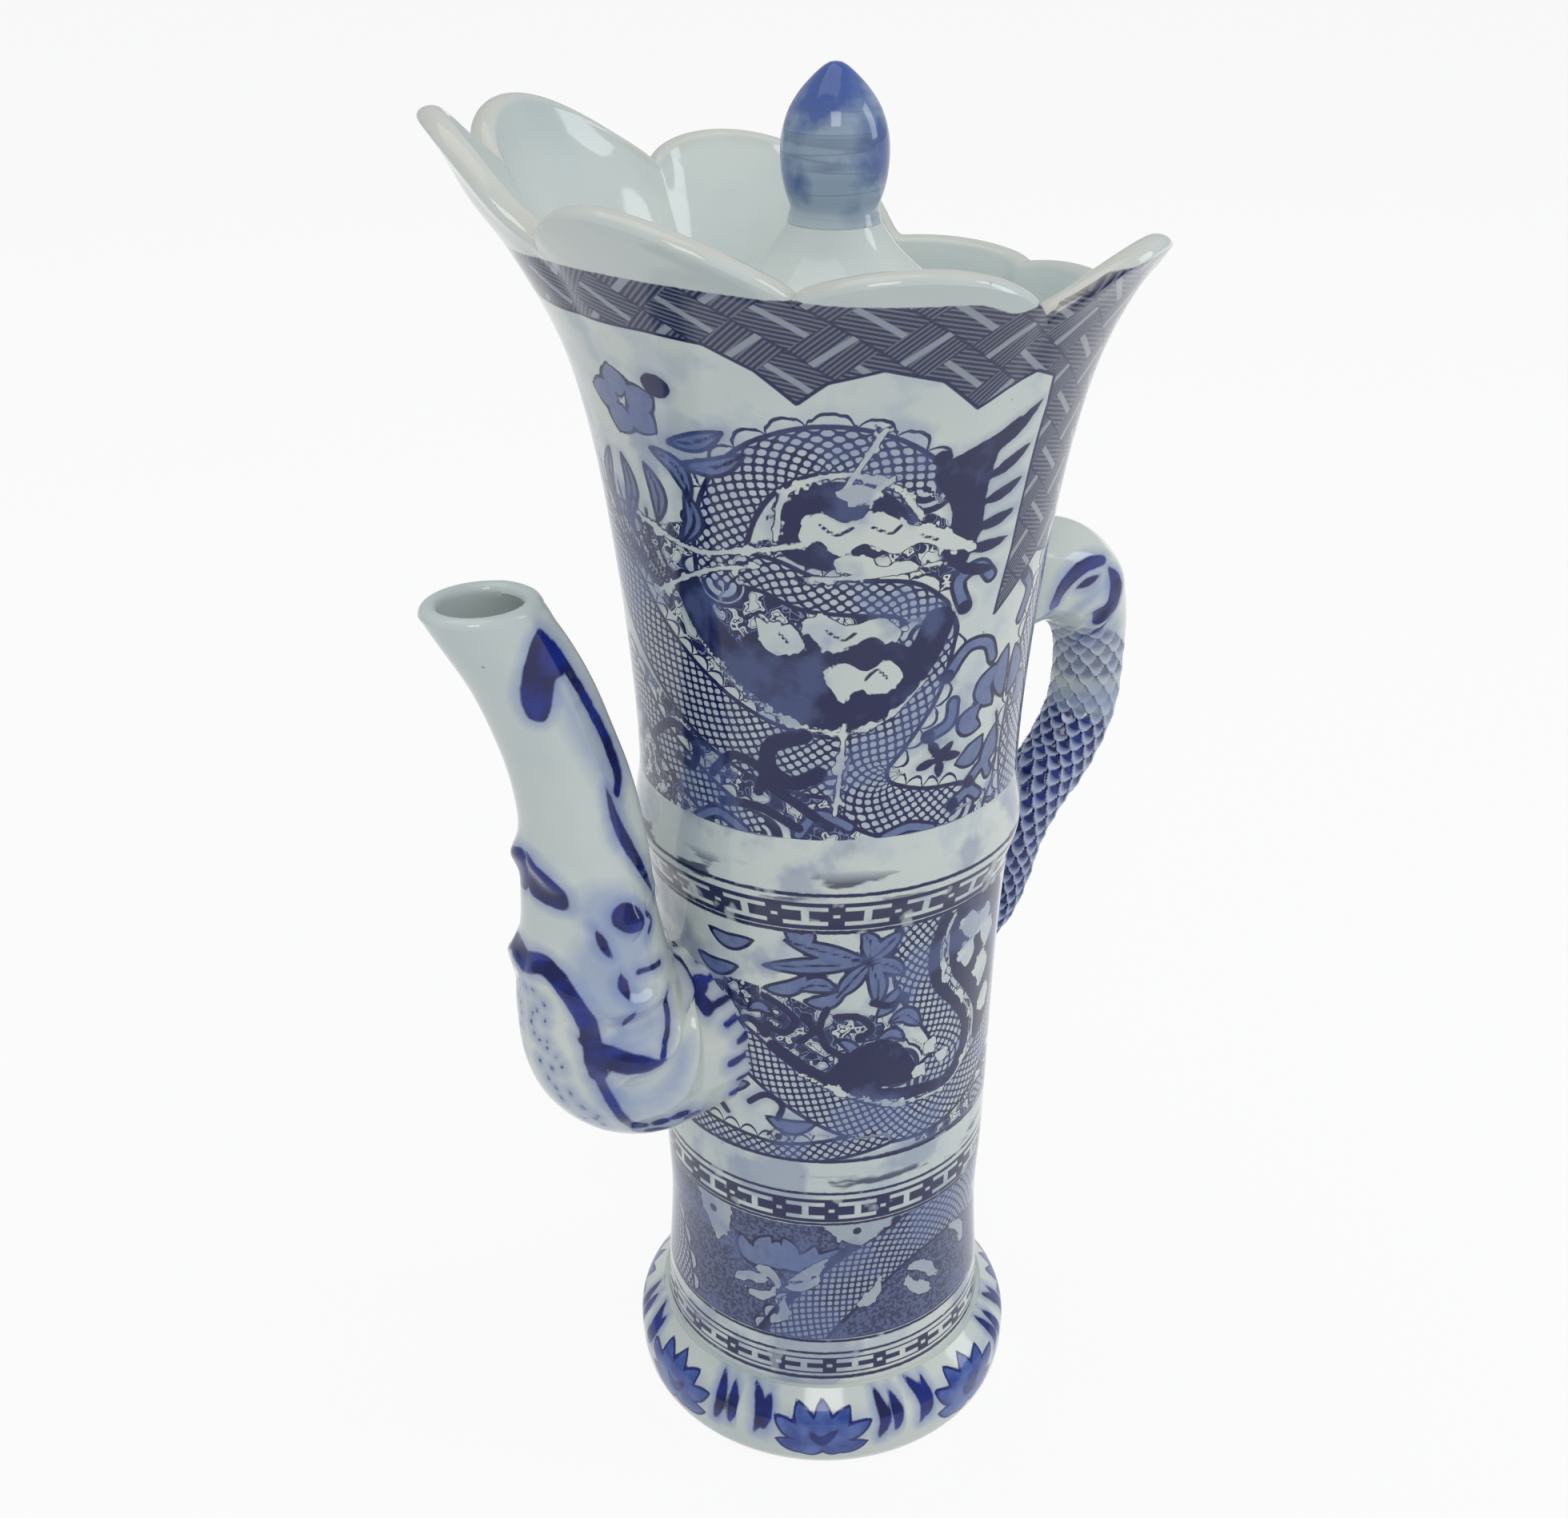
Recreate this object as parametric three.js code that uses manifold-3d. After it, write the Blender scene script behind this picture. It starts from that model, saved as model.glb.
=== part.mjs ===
// A tall porcelain ewer teapot with a petal-cut mouth, a spout that grows out of an animal head, a serpent handle and a
// lift-off lid. Each piece is one that a potter forms by itself and lutes to its neighbours with slip.
// Millimetres, +Z up. The spout points along +X and the handle along -X. The pieces are drawn round the pot's axis, and
// the finished pot is moved so that the origin lies on the table at the middle of its box.
import * as THREE from "three";
import { mergeVertices } from "three/addons/utils/BufferGeometryUtils.js";
import Module from "manifold-3d";

const { lerp, smoothstep, degToRad } = THREE.MathUtils;

// Body: heights of its pieces from the table up, and outside radii
const wall = 3.8; // thickness of the body's wall
const slip = 0.3; // thickness of a slip joint between two luted pieces
const footHeight = 20.2;
const footRadius = 46.9; // at the foot's widest
const footContact = 7; // width of the flat ring that the pot stands on
const footRounding = 2.4; // how far the foot's lower edge is drawn in
const footStep = 1.2; // how far the foot stands out below the lowest storey
const floorThick = 4.7;
const floorLedge = 3; // width of the ledge in the foot that carries the floor
const lowerHeight = 49.5; // lowest storey
const lowerRing = 6; // lower joint ring
const middleHeight = 73.7; // middle storey
const upperRing = 14; // upper joint ring
const upperHeight = 86; // upper storey
const collarHeight = 34.3; // petal collar, up to the level of its notches
const waistRadius = 38; // the narrowest place, in the lowest storey
const middleRadius = 39.5; // half-way up the middle storey
const girthRadius = 43.5; // at the swelling of the upper joint ring
const upperWaist = 42.2; // just above the upper joint ring
const neckRadius = 50.5; // where the upper storey meets the petal collar
const notchRadius = 64; // at the notches between two petals

// Petals: eight to the turn, and none over the handle
const petalHeight = 11; // a petal's tip above its notches
const petalOut = 7.5; // how much further out a petal's tip lies than its notches
const petalPitch = degToRad(45);
const creaseDepth = 1.3; // the fold below each notch
const backDrop = 14; // how far the edge drops over the handle
const backHalfAngle = degToRad(45);
const rimTilt = 9.8; // the edge slopes: this much above the notch level on its high side
const rimTiltAt = degToRad(-30); // the high side, towards the spout but a little askew
const rimWave = 4.5; // the edge also sags this much across the slope and rises along it, as it did in the kiln

// Lid
const seatBelowNotches = 22.3; // top of the ledge that the lid rests on
const seatWidth = 9;
const seatThick = 3.5;
const lidRest = 0.3; // gap between the lid and its ledge
const lidClearance = 3; // from the lid's edge to the wall beside it
const lidRise = 25; // from the lid's underside to the foot of the knob
const lidThick = 3.5;
const flangeDepth = 11;
const flangeThick = 3.2;
const flangeClearance = 0.8; // from the flange to the ledge's edge
const ventRadius = 1.5;
const ventAt = 24; // the vent hole's distance from the axis
const knobFoot = 9.2;
const knobRadius = 10.7;
const knobHeight = 29.4;

// Spout
const spoutRoot = 114; // height of the middle of its root
const spoutMouth = 228.8; // height of its level-cut mouth
const spoutReach = 85; // from the axis to the middle of the mouth
const spoutWall = 3.4;
const headDepth = 21.3; // the animal head's half size, fore and aft
const headWidth = 16.5; // and side to side
const tubeRadius = 10.4;
const ruffLength = 7; // the ruff where the spout is luted to the wall
const ruffFlare = 2.4;
const headLength = 78; // along the spout's middle line
const strainerHole = 1.9; // radius
const strainerPitch = 7;

// Handle
const handleTop = 200.5; // height of its middle line where it leaves the wall
const handleFoot = 104; // height of its middle line where it ends
const handleReach = 82.6; // from the axis to its middle line
const snoutRadius = 12.9;
const gripDepth = 9.4; // half thickness, fore and aft
const gripWidth = 8.4; // and side to side
const tailRadius = 6.6;
const snoutLength = 46; // along the handle's middle line
const tailLength = 27;

// Levels that follow from the heights
const lowerBase = footHeight + slip;
const lowerTop = lowerBase + lowerHeight;
const lowerRingBase = lowerTop + slip;
const lowerRingTop = lowerRingBase + lowerRing;
const middleBase = lowerRingTop + slip;
const middleTop = middleBase + middleHeight;
const upperRingBase = middleTop + slip;
const upperRingTop = upperRingBase + upperRing;
const upperBase = upperRingTop + slip;
const upperTop = upperBase + upperHeight;
const collarBase = upperTop + slip;
const notchLevel = collarBase + collarHeight;
const seatTop = notchLevel - seatBelowNotches;
const knobBase = seatTop + lidRest + lidRise + slip;

// Facets
const around = 48; // round the body
const petalFacets = 72; // round the petal collar
const tubeFacets = 20; // round the spout and the handle

const wasm = await Module();
wasm.setup();

/** A closed geometry as a solid that can be joined and cut. */
function solid(geometry) {
  const bare = new THREE.BufferGeometry()
    .setAttribute("position", geometry.getAttribute("position"))
    .setIndex(geometry.getIndex());
  const merged = mergeVertices(bare, 1e-4);
  return new wasm.Manifold(
    new wasm.Mesh({
      numProp: 3,
      vertProperties: new Float32Array(merged.attributes.position.array),
      triVerts: new Uint32Array(merged.index.array),
    }),
  );
}

/** A solid back as a geometry. */
function surface(made) {
  const mesh = made.getMesh();
  return new THREE.BufferGeometry()
    .setAttribute("position", new THREE.BufferAttribute(mesh.vertProperties, 3))
    .setIndex(new THREE.BufferAttribute(mesh.triVerts, 1));
}

/** Even steps from one number to another, both ends included. */
function steps(from, to, count) {
  return Array.from({ length: count + 1 }, (_, i) => lerp(from, to, i / count));
}

/** Turns a profile of [radius, height] pairs about the Z axis. Angles run from +X towards +Y. */
function turned(profile, facets = around) {
  const points = profile.map(([radius, height]) => new THREE.Vector2(radius, height));
  return new THREE.LatheGeometry(points, facets, Math.PI / 2).rotateX(Math.PI / 2);
}

/** A ring: a profile that closes on itself, turned. */
function ring(profile, facets) {
  return turned([...profile, profile[0]], facets);
}

/** A smooth function through [place, value] knots: cubic pieces whose slope at a knot is that of its neighbours. */
function through(knots, place) {
  const last = knots.length - 1;
  const next = knots.findIndex(([at]) => at > place);
  const piece = next < 0 ? last - 1 : Math.max(next - 1, 0);
  const slope = (k) => {
    const [a, b] = [knots[Math.max(k - 1, 0)], knots[Math.min(k + 1, last)]];
    return (b[1] - a[1]) / (b[0] - a[0]);
  };
  const [[x0, y0], [x1, y1]] = [knots[piece], knots[piece + 1]];
  const [span, t] = [x1 - x0, (place - x0) / (x1 - x0)];
  if (t > 1) return y1 + slope(last) * (place - x1);
  const [t2, t3] = [t * t, t * t * t];
  return (
    (2 * t3 - 3 * t2 + 1) * y0 +
    (t3 - 2 * t2 + t) * span * slope(piece) +
    (3 * t2 - 2 * t3) * y1 +
    (t3 - t2) * span * slope(piece + 1)
  );
}

const bodyLine = [
  [lowerBase, waistRadius + 1.8],
  [lerp(lowerBase, lowerTop, 0.62), waistRadius],
  [lowerRingBase, waistRadius + 0.7],
  [middleBase, waistRadius + 0.9],
  [lerp(middleBase, middleTop, 0.5), middleRadius],
  [lerp(middleBase, middleTop, 0.75), middleRadius + 0.6],
  [upperRingBase, lerp(middleRadius, girthRadius, 0.5)],
  [lerp(upperRingBase, upperRingTop, 0.6), girthRadius],
  [lerp(upperBase, upperTop, 0.09), upperWaist],
  [lerp(upperBase, upperTop, 0.4), upperWaist + 1.4],
  [lerp(upperBase, upperTop, 0.75), lerp(upperWaist, neckRadius, 0.56)],
  [collarBase, neckRadius],
  [lerp(collarBase, notchLevel, 0.5), lerp(neckRadius, notchRadius, 0.36)],
  [notchLevel, notchRadius],
  [notchLevel + petalHeight, notchRadius + petalOut],
  [notchLevel + petalHeight + rimTilt, notchRadius + petalOut + 0.5 * rimTilt],
];

/** The body's outside radius at a height. */
function bodyRadius(height) {
  return through(bodyLine, height);
}

/** A stretch of the body's wall between two heights, as a ring profile. */
function wallProfile(from, to, count) {
  const outside = steps(from, to, count).map((height) => [bodyRadius(height), height]);
  const inside = steps(to, from, count).map((height) => [bodyRadius(height) - wall, height]);
  return [...outside, ...inside];
}

/** The whole body as if it were solid, grown by a slip joint: what the spout and the handle are fitted against. */
function bodyCore() {
  const skin = steps(lowerBase, notchLevel, 48).map((height) => [bodyRadius(height) + slip, height]);
  return solid(turned([[0, lowerBase], ...skin, [0, notchLevel]]));
}

/** A round rod between two points. */
function rod(radius, from, to, facets = 10) {
  const way = new THREE.Vector3().subVectors(to, from);
  const geometry = new THREE.CylinderGeometry(radius, radius, way.length(), facets);
  const turn = new THREE.Quaternion().setFromUnitVectors(new THREE.Vector3(0, 1, 0), way.clone().normalize());
  const middle = from.clone().add(to).divideScalar(2);
  return solid(geometry.applyQuaternion(turn).translate(middle.x, middle.y, middle.z));
}

// ---- Foot and floor

function footRing() {
  const well = bodyRadius(lowerBase) - wall; // radius of the well that holds the floor
  const ledge = footHeight - floorThick - slip;
  const outside = new THREE.SplineCurve([
    new THREE.Vector2(footRadius - footRounding, 0),
    new THREE.Vector2(footRadius - 0.3 * footRounding, 0.15 * footHeight),
    new THREE.Vector2(footRadius, 0.42 * footHeight),
    new THREE.Vector2(footRadius - 0.3 * footRounding, 0.7 * footHeight),
    new THREE.Vector2(bodyRadius(lowerBase) + footStep, footHeight),
  ]);
  return ring([
    [footRadius - footRounding - footContact, 0],
    ...outside.getPoints(9).map(({ x, y }) => [x, y]),
    [well, footHeight],
    [well, ledge],
    [well - floorLedge, ledge],
    [well - floorLedge, ledge - floorThick],
  ]);
}

function baseDisc() {
  const radius = bodyRadius(lowerBase) - wall - slip;
  const underside = footHeight - floorThick;
  return turned([[0, underside], [radius, underside], [radius, footHeight], [0, footHeight]]);
}

// ---- Petal collar and the lid's seat

/** The height of the collar's edge at an angle: petals, then the low stretch over the handle. */
function edgeHeight(angle) {
  const turnFromSpout = Math.abs(Math.atan2(Math.sin(angle), Math.cos(angle)));
  const arch = Math.abs(Math.sin((Math.PI * angle) / petalPitch)) ** 0.8;
  const sag = rimWave * Math.cos(2 * (angle - rimTiltAt)) * (0.4 + 0.6 * arch);
  const petals = petalHeight * arch + rimTilt * Math.cos(angle - rimTiltAt) + sag;
  const back = smoothstep(turnFromSpout, Math.PI - backHalfAngle, Math.PI - backHalfAngle + degToRad(10));
  return notchLevel + lerp(petals, 2 * arch - backDrop, back);
}

/** How far a fold draws the wall in at an angle: deepest at a notch, gone a few degrees away. */
function creaseAt(angle) {
  const fromNotch = Math.abs(angle / petalPitch - Math.round(angle / petalPitch)) * petalPitch;
  return creaseDepth * Math.exp(-((fromNotch / degToRad(4)) ** 2));
}

/** The collar: a plain flared ring, drawn up or down at each angle to meet its edge, with folds below the notches. */
function petalCollar() {
  const lip = steps(0, Math.PI, 4).map((turn) => [
    notchRadius - (wall / 2) * (1 - Math.cos(turn)),
    notchLevel + (wall / 2) * Math.sin(turn),
  ]);
  const levels = steps(collarBase, notchLevel, 6).slice(0, -1);
  const geometry = ring(
    [
      ...levels.map((height) => [bodyRadius(height), height]),
      ...lip,
      ...levels.reverse().map((height) => [bodyRadius(height) - wall, height]),
    ],
    petalFacets,
  );
  const points = geometry.getAttribute("position");
  for (let i = 0; i < points.count; i += 1) {
    const [x, y, z] = [points.getX(i), points.getY(i), points.getZ(i)];
    const angle = Math.atan2(y, x);
    const share = Math.min((z - collarBase) / collarHeight, 1);
    const above = z - collarBase - share * collarHeight;
    const height = collarBase + share * (edgeHeight(angle) - collarBase);
    const inward = Math.hypot(x, y) - bodyRadius(collarBase + share * collarHeight);
    const radius = bodyRadius(height) + inward - share ** 2 * creaseAt(angle);
    points.setXYZ(i, radius * Math.cos(angle), radius * Math.sin(angle), height + above);
  }
  return geometry;
}

/** The ledge's inner radius: the lid's edge covers all but the clearance of its width. */
const seatBore = bodyRadius(seatTop) - wall - seatWidth;

function lidSeat() {
  const fit = wall + slip;
  return ring([
    [seatBore, seatTop - seatThick],
    [bodyRadius(seatTop - seatThick) - fit, seatTop - seatThick],
    [bodyRadius(seatTop) - fit - slip, seatTop],
    [seatBore, seatTop],
  ]);
}

// ---- Lid

function lidDome() {
  const edge = bodyRadius(seatTop) - wall - lidClearance;
  const flange = seatBore - flangeClearance - flangeThick;
  const base = seatTop + lidRest;
  const top = base + lidRise;
  const outside = new THREE.SplineCurve([
    new THREE.Vector2(edge, base + 0.6 * lidThick),
    new THREE.Vector2(0.86 * edge, base + 1.45 * lidThick),
    new THREE.Vector2(0.5 * edge, base + 0.46 * lidRise),
    new THREE.Vector2(0.3 * edge, base + 0.74 * lidRise),
    new THREE.Vector2(knobFoot, top),
  ]);
  const shell = ring([
    [flange, base],
    [edge - 0.5, base],
    ...outside.getPoints(10).map(({ x, y }) => [x, y]),
    [knobFoot - lidThick, top],
    [knobFoot - lidThick, top - lidThick],
    [0.3 * edge - lidThick, base + 0.6 * lidRise],
    [0.5 * edge - 0.5 * lidThick, base + 0.46 * lidRise - lidThick],
  ]);
  const vent = rod(
    ventRadius,
    new THREE.Vector3(-ventAt, 0, base),
    new THREE.Vector3(-ventAt, 0, top),
  );
  return surface(solid(shell).subtract(vent));
}

function lidFlange() {
  const outer = seatBore - flangeClearance;
  const inner = outer - flangeThick;
  const [low, high] = [seatTop - flangeDepth, seatTop];
  return ring([[inner, low], [outer - 1, low], [outer, low + 1], [outer, high], [inner, high]]);
}

function finial() {
  const outline = new THREE.SplineCurve([
    new THREE.Vector2(knobFoot, knobBase),
    new THREE.Vector2(knobFoot - 0.3, knobBase + 0.07 * knobHeight),
    new THREE.Vector2(0.97 * knobRadius, knobBase + 0.27 * knobHeight),
    new THREE.Vector2(knobRadius, knobBase + 0.45 * knobHeight),
    new THREE.Vector2(0.84 * knobRadius, knobBase + 0.7 * knobHeight),
    new THREE.Vector2(0.45 * knobRadius, knobBase + 0.9 * knobHeight),
    new THREE.Vector2(0, knobBase + knobHeight),
  ]);
  return turned([[0, knobBase], ...outline.getPoints(14).map(({ x, y }) => [x, y])], 28);
}

// ---- Spout and handle: sections carried along a middle line in the XZ plane

/** The smooth middle line through stations of [x, z, ...]. */
function middleLine(stations) {
  return new THREE.CatmullRomCurve3(stations.map(([x, z]) => new THREE.Vector3(x, 0, z)));
}

function lineLength(stations) {
  return middleLine(stations).getLength();
}

/**
 * A rod with a changing oval section. Each station is [x, z, half depth, half width]: the depth lies in the plane of
 * the middle line and the width across it. The stretch from one length to another along the line is made.
 */
function carried(stations, from, to, count, shrink = 0) {
  const line = middleLine(stations);
  const size = new THREE.CatmullRomCurve3(stations.map(([, , depth, width]) => new THREE.Vector3(depth, width, 0)));
  const length = line.getLength();
  const geometry = new THREE.CylinderGeometry(1, 1, 1, tubeFacets, count);
  const points = geometry.getAttribute("position");
  for (let i = 0; i < points.count; i += 1) {
    const share = lerp(from, to, points.getY(i) + 0.5) / length;
    const at = line.getUtoTmapping(THREE.MathUtils.clamp(share, 0, 1));
    const along = line.getTangent(at);
    const { x: depth, y: width } = size.getPoint(at);
    const side = new THREE.Vector3(0, 1, 0);
    const out = new THREE.Vector3().crossVectors(along, side);
    const place = line
      .getPoint(at)
      .addScaledVector(along, (share - THREE.MathUtils.clamp(share, 0, 1)) * length)
      .addScaledVector(out, points.getX(i) * (depth - shrink))
      .addScaledVector(side, points.getZ(i) * (width - shrink));
    points.setXYZ(i, place.x, place.y, place.z);
  }
  return solid(geometry);
}

/** A middle line's points, given as shares of its reach from the wall and of its rise. */
function between(rootX, rootZ, reach, rise, shares) {
  return shares.map(([across, up, depth, width]) => [
    rootX + across * (reach - rootX),
    rootZ + up * rise,
    depth,
    width,
  ]);
}

const spoutStations = between(bodyRadius(spoutRoot), spoutRoot, spoutReach, spoutMouth - spoutRoot, [
  [-0.12, 0, 0.86 * headDepth, 0.9 * headWidth],
  [0.24, 0.0, headDepth, headWidth],
  [0.44, 0.06, 0.96 * headDepth, headWidth],
  [0.52, 0.17, 0.87 * headDepth, headWidth],
  [0.55, 0.37, 1.4 * tubeRadius, 1.32 * tubeRadius],
  [0.6, 0.58, 1.1 * tubeRadius, 1.1 * tubeRadius],
  [0.7, 0.73, tubeRadius, tubeRadius],
  [0.82, 0.86, tubeRadius, tubeRadius],
  [1, 1, 1.03 * tubeRadius, 1.03 * tubeRadius],
  [1.08, 1.06, 1.03 * tubeRadius, 1.03 * tubeRadius],
]);
const headStart = 0.12 * (spoutReach - bodyRadius(spoutRoot)) + ruffLength;

/** A hollow stretch of the spout, fitted against the body and cut level at the mouth. */
function spoutStretch(from, to, count, boreFrom = from - 1, boreTo = to + 1) {
  const outer = carried(spoutStations, from, to, count);
  const bore = carried(spoutStations, boreFrom, boreTo, count + 2, spoutWall);
  return outer.subtract(bore).subtract(bodyCore());
}

function spoutCollar() {
  const ruffed = spoutStations.map(([x, z, depth, width]) => [x, z, depth + ruffFlare, width + ruffFlare]);
  const outer = carried(ruffed, 0, headStart - slip, 3);
  const bore = carried(spoutStations, -1, headStart + 1, 3, spoutWall);
  return surface(outer.subtract(bore).subtract(bodyCore()));
}

function spoutHead() {
  return surface(spoutStretch(headStart, headStart + headLength, 14));
}

function spoutTube() {
  const cutter = 6 * tubeRadius;
  const above = new THREE.BoxGeometry(cutter, cutter, cutter).translate(spoutReach, 0, spoutMouth + cutter / 2);
  const stretch = spoutStretch(headStart + headLength + slip, lineLength(spoutStations), 16);
  return surface(stretch.subtract(solid(above)));
}

const handleStations = between(bodyRadius(handleTop), handleFoot, handleReach, handleTop - handleFoot, [
  [-0.08, 0.94, 0.85 * snoutRadius, 0.85 * snoutRadius],
  [0.3, 1, snoutRadius, snoutRadius],
  [0.6, 0.99, snoutRadius, snoutRadius],
  [0.83, 0.93, 0.93 * snoutRadius, 0.93 * snoutRadius],
  [0.97, 0.83, 1.08 * gripDepth, 1.1 * gripWidth],
  [1, 0.71, gripDepth, gripWidth],
  [0.96, 0.58, gripDepth, gripWidth],
  [0.78, 0.46, gripDepth, gripWidth],
  [0.57, 0.38, 0.97 * gripDepth, gripWidth],
  [0.42, 0.28, 0.9 * gripDepth, 0.93 * gripWidth],
  [0.37, 0.17, tailRadius, tailRadius],
  [0.26, 0.07, 0.85 * tailRadius, 0.85 * tailRadius],
  [-0.09, -0.03, 0.7 * tailRadius, 0.7 * tailRadius],
]);
const handleLength = lineLength(handleStations);

/** A solid stretch of the handle, fitted against the body and turned to the side away from the spout. */
function handleStretch(from, to, count) {
  const halfTurn = new THREE.Matrix4().makeRotationZ(Math.PI);
  const stretch = carried(handleStations, from, to, count).subtract(bodyCore());
  return surface(stretch).applyMatrix4(halfTurn);
}

// ---- Middle storey, with a round of strainer holes behind the spout

function middleWall() {
  let made = solid(ring(wallProfile(middleBase, middleTop, 8)));
  const centres = [[0, 0], ...steps(0, 300, 5).map((turn) => [degToRad(turn), strainerPitch])];
  for (const [turn, out] of centres) {
    const [y, z] = [out * Math.cos(turn), spoutRoot + out * Math.sin(turn)];
    const inside = new THREE.Vector3(bodyRadius(spoutRoot) - 3 * wall, y, z);
    const outside = new THREE.Vector3(bodyRadius(spoutRoot) + 2 * wall, y, z);
    made = made.subtract(rod(strainerHole, inside, outside));
  }
  return surface(made);
}

// ---- Finishes and assembly

const glaze = new THREE.MeshStandardMaterial({ color: 0xdfe5e0, roughness: 0.12, metalness: 0 });
const printed = new THREE.MeshStandardMaterial({ color: 0x7d8bb0, roughness: 0.12, metalness: 0 });
const cobalt = new THREE.MeshStandardMaterial({ color: 0x2c3f8c, roughness: 0.14, metalness: 0 });
const wash = new THREE.MeshStandardMaterial({ color: 0x8ea3bd, roughness: 0.12, metalness: 0 });

/** A named piece in its finish. */
function piece(name, geometry, material) {
  const mesh = new THREE.Mesh(geometry, material);
  mesh.name = name;
  return mesh;
}

const tailStart = handleLength - tailLength;

const pot = new THREE.Group();
pot.add(
  piece("foot_ring", footRing(), glaze),
  piece("base_disc", baseDisc(), glaze),
  piece("lower_wall", ring(wallProfile(lowerBase, lowerTop, 5)), printed),
  piece("lower_joint_ring", ring(wallProfile(lowerRingBase, lowerRingTop, 2)), printed),
  piece("middle_wall", middleWall(), printed),
  piece("upper_joint_ring", ring(wallProfile(upperRingBase, upperRingTop, 4)), printed),
  piece("upper_wall", ring(wallProfile(upperBase, upperTop, 9)), printed),
  piece("petal_collar", petalCollar(), glaze),
  piece("lid_seat", lidSeat(), glaze),
  piece("spout_collar", spoutCollar(), cobalt),
  piece("spout_head", spoutHead(), wash),
  piece("spout_tube", spoutTube(), glaze),
  piece("handle_head", handleStretch(0, snoutLength, 8), glaze),
  piece("handle_body", handleStretch(snoutLength + slip, tailStart, 14), cobalt),
  piece("handle_tail", handleStretch(tailStart + slip, handleLength, 5), cobalt),
);

const lid = new THREE.Group();
lid.add(
  piece("lid_dome", lidDome(), glaze),
  piece("lid_flange", lidFlange(), glaze),
  piece("finial", finial(), wash),
);

const teapot = new THREE.Group();
teapot.add(pot, lid);
const middle = new THREE.Box3().setFromObject(teapot).getCenter(new THREE.Vector3());
teapot.position.set(-middle.x, -middle.y, 0);

export default teapot;
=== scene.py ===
# %% [markdown]
# # A tall porcelain teapot in blue and white
# The pot is thrown and pressed in pieces that are luted together: a foot, three storeys, a petal collar, a spout that
# grows out of an animal's head and a serpent for a handle. A domed lid with a bud for a knob lifts off.
# Every piece here is a grid of points worked out with numpy, so its outline stays a formula that can be read.

import bpy
import numpy as np
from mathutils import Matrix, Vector


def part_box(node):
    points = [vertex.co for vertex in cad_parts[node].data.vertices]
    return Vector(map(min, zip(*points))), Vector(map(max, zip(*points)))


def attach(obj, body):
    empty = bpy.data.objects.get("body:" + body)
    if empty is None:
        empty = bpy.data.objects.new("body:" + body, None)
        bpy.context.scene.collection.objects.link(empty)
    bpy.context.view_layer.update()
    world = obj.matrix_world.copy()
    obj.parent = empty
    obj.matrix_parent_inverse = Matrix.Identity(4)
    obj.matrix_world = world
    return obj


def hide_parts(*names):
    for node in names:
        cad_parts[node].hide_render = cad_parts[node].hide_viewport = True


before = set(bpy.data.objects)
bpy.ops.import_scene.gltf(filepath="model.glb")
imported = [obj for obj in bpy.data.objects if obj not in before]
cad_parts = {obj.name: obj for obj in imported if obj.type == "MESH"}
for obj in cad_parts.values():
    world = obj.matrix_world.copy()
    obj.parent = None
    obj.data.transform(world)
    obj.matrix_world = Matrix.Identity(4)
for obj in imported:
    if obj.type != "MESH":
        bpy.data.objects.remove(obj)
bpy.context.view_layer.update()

MM = 0.001

# %% [markdown]
# ## The pot's outline
# The storeys follow one smooth line, a waist low down and a flare at the mouth. Their heights come from the frame, so
# that each finished piece lies exactly where its plain solid does. The pot's axis is the middle of the foot.

# %% Levels and axis
foot_low, foot_high = (np.array(corner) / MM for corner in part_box("foot_ring"))
AXIS = (foot_low + foot_high)[:2] / 2


def level(node):
    """The lowest and highest point of a node, in millimetres."""
    low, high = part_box(node)
    return low.z / MM, high.z / MM


FOOT_TOP = level("foot_ring")[1]
LOWER, LOWER_RING, MIDDLE = level("lower_wall"), level("lower_joint_ring"), level("middle_wall")
UPPER_RING, UPPER = level("upper_joint_ring"), level("upper_wall")
COLLAR_BASE = UPPER[1] + 0.3
COLLAR_HEIGHT = 34.3
NOTCH_LEVEL = COLLAR_BASE + COLLAR_HEIGHT
SEAT_LOW, SEAT_TOP = level("lid_seat")
WALL = 3.8
UPPER_FOOT, COLLAR_FOOT, NOTCH_RADIUS = 42.2, 50.5, 64
print("axis", AXIS, "storeys", LOWER, MIDDLE, UPPER)

# %% The outline as a function of height


def smooth_line(knots, place):
    """A cubic through [place, value] knots whose slope at a knot is that of its two neighbours."""
    x, y = np.array(knots, float).T
    first, last = (y[1] - y[0]) / (x[1] - x[0]), (y[-1] - y[-2]) / (x[-1] - x[-2])
    slope = np.r_[first, (y[2:] - y[:-2]) / (x[2:] - x[:-2]), last]
    k = np.clip(np.searchsorted(x, place, "right") - 1, 0, len(x) - 2)
    span = x[k + 1] - x[k]
    t = np.clip((place - x[k]) / span, 0, 1)
    cubic = (2 * t**3 - 3 * t**2 + 1) * y[k] + (t**3 - 2 * t**2 + t) * span * slope[k]
    cubic = cubic + (3 * t**2 - 2 * t**3) * y[k + 1] + (t**3 - t**2) * span * slope[k + 1]
    return cubic + slope[-1] * np.maximum(place - x[-1], 0)


def mix(a, b, share):
    return a + (b - a) * share


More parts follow.
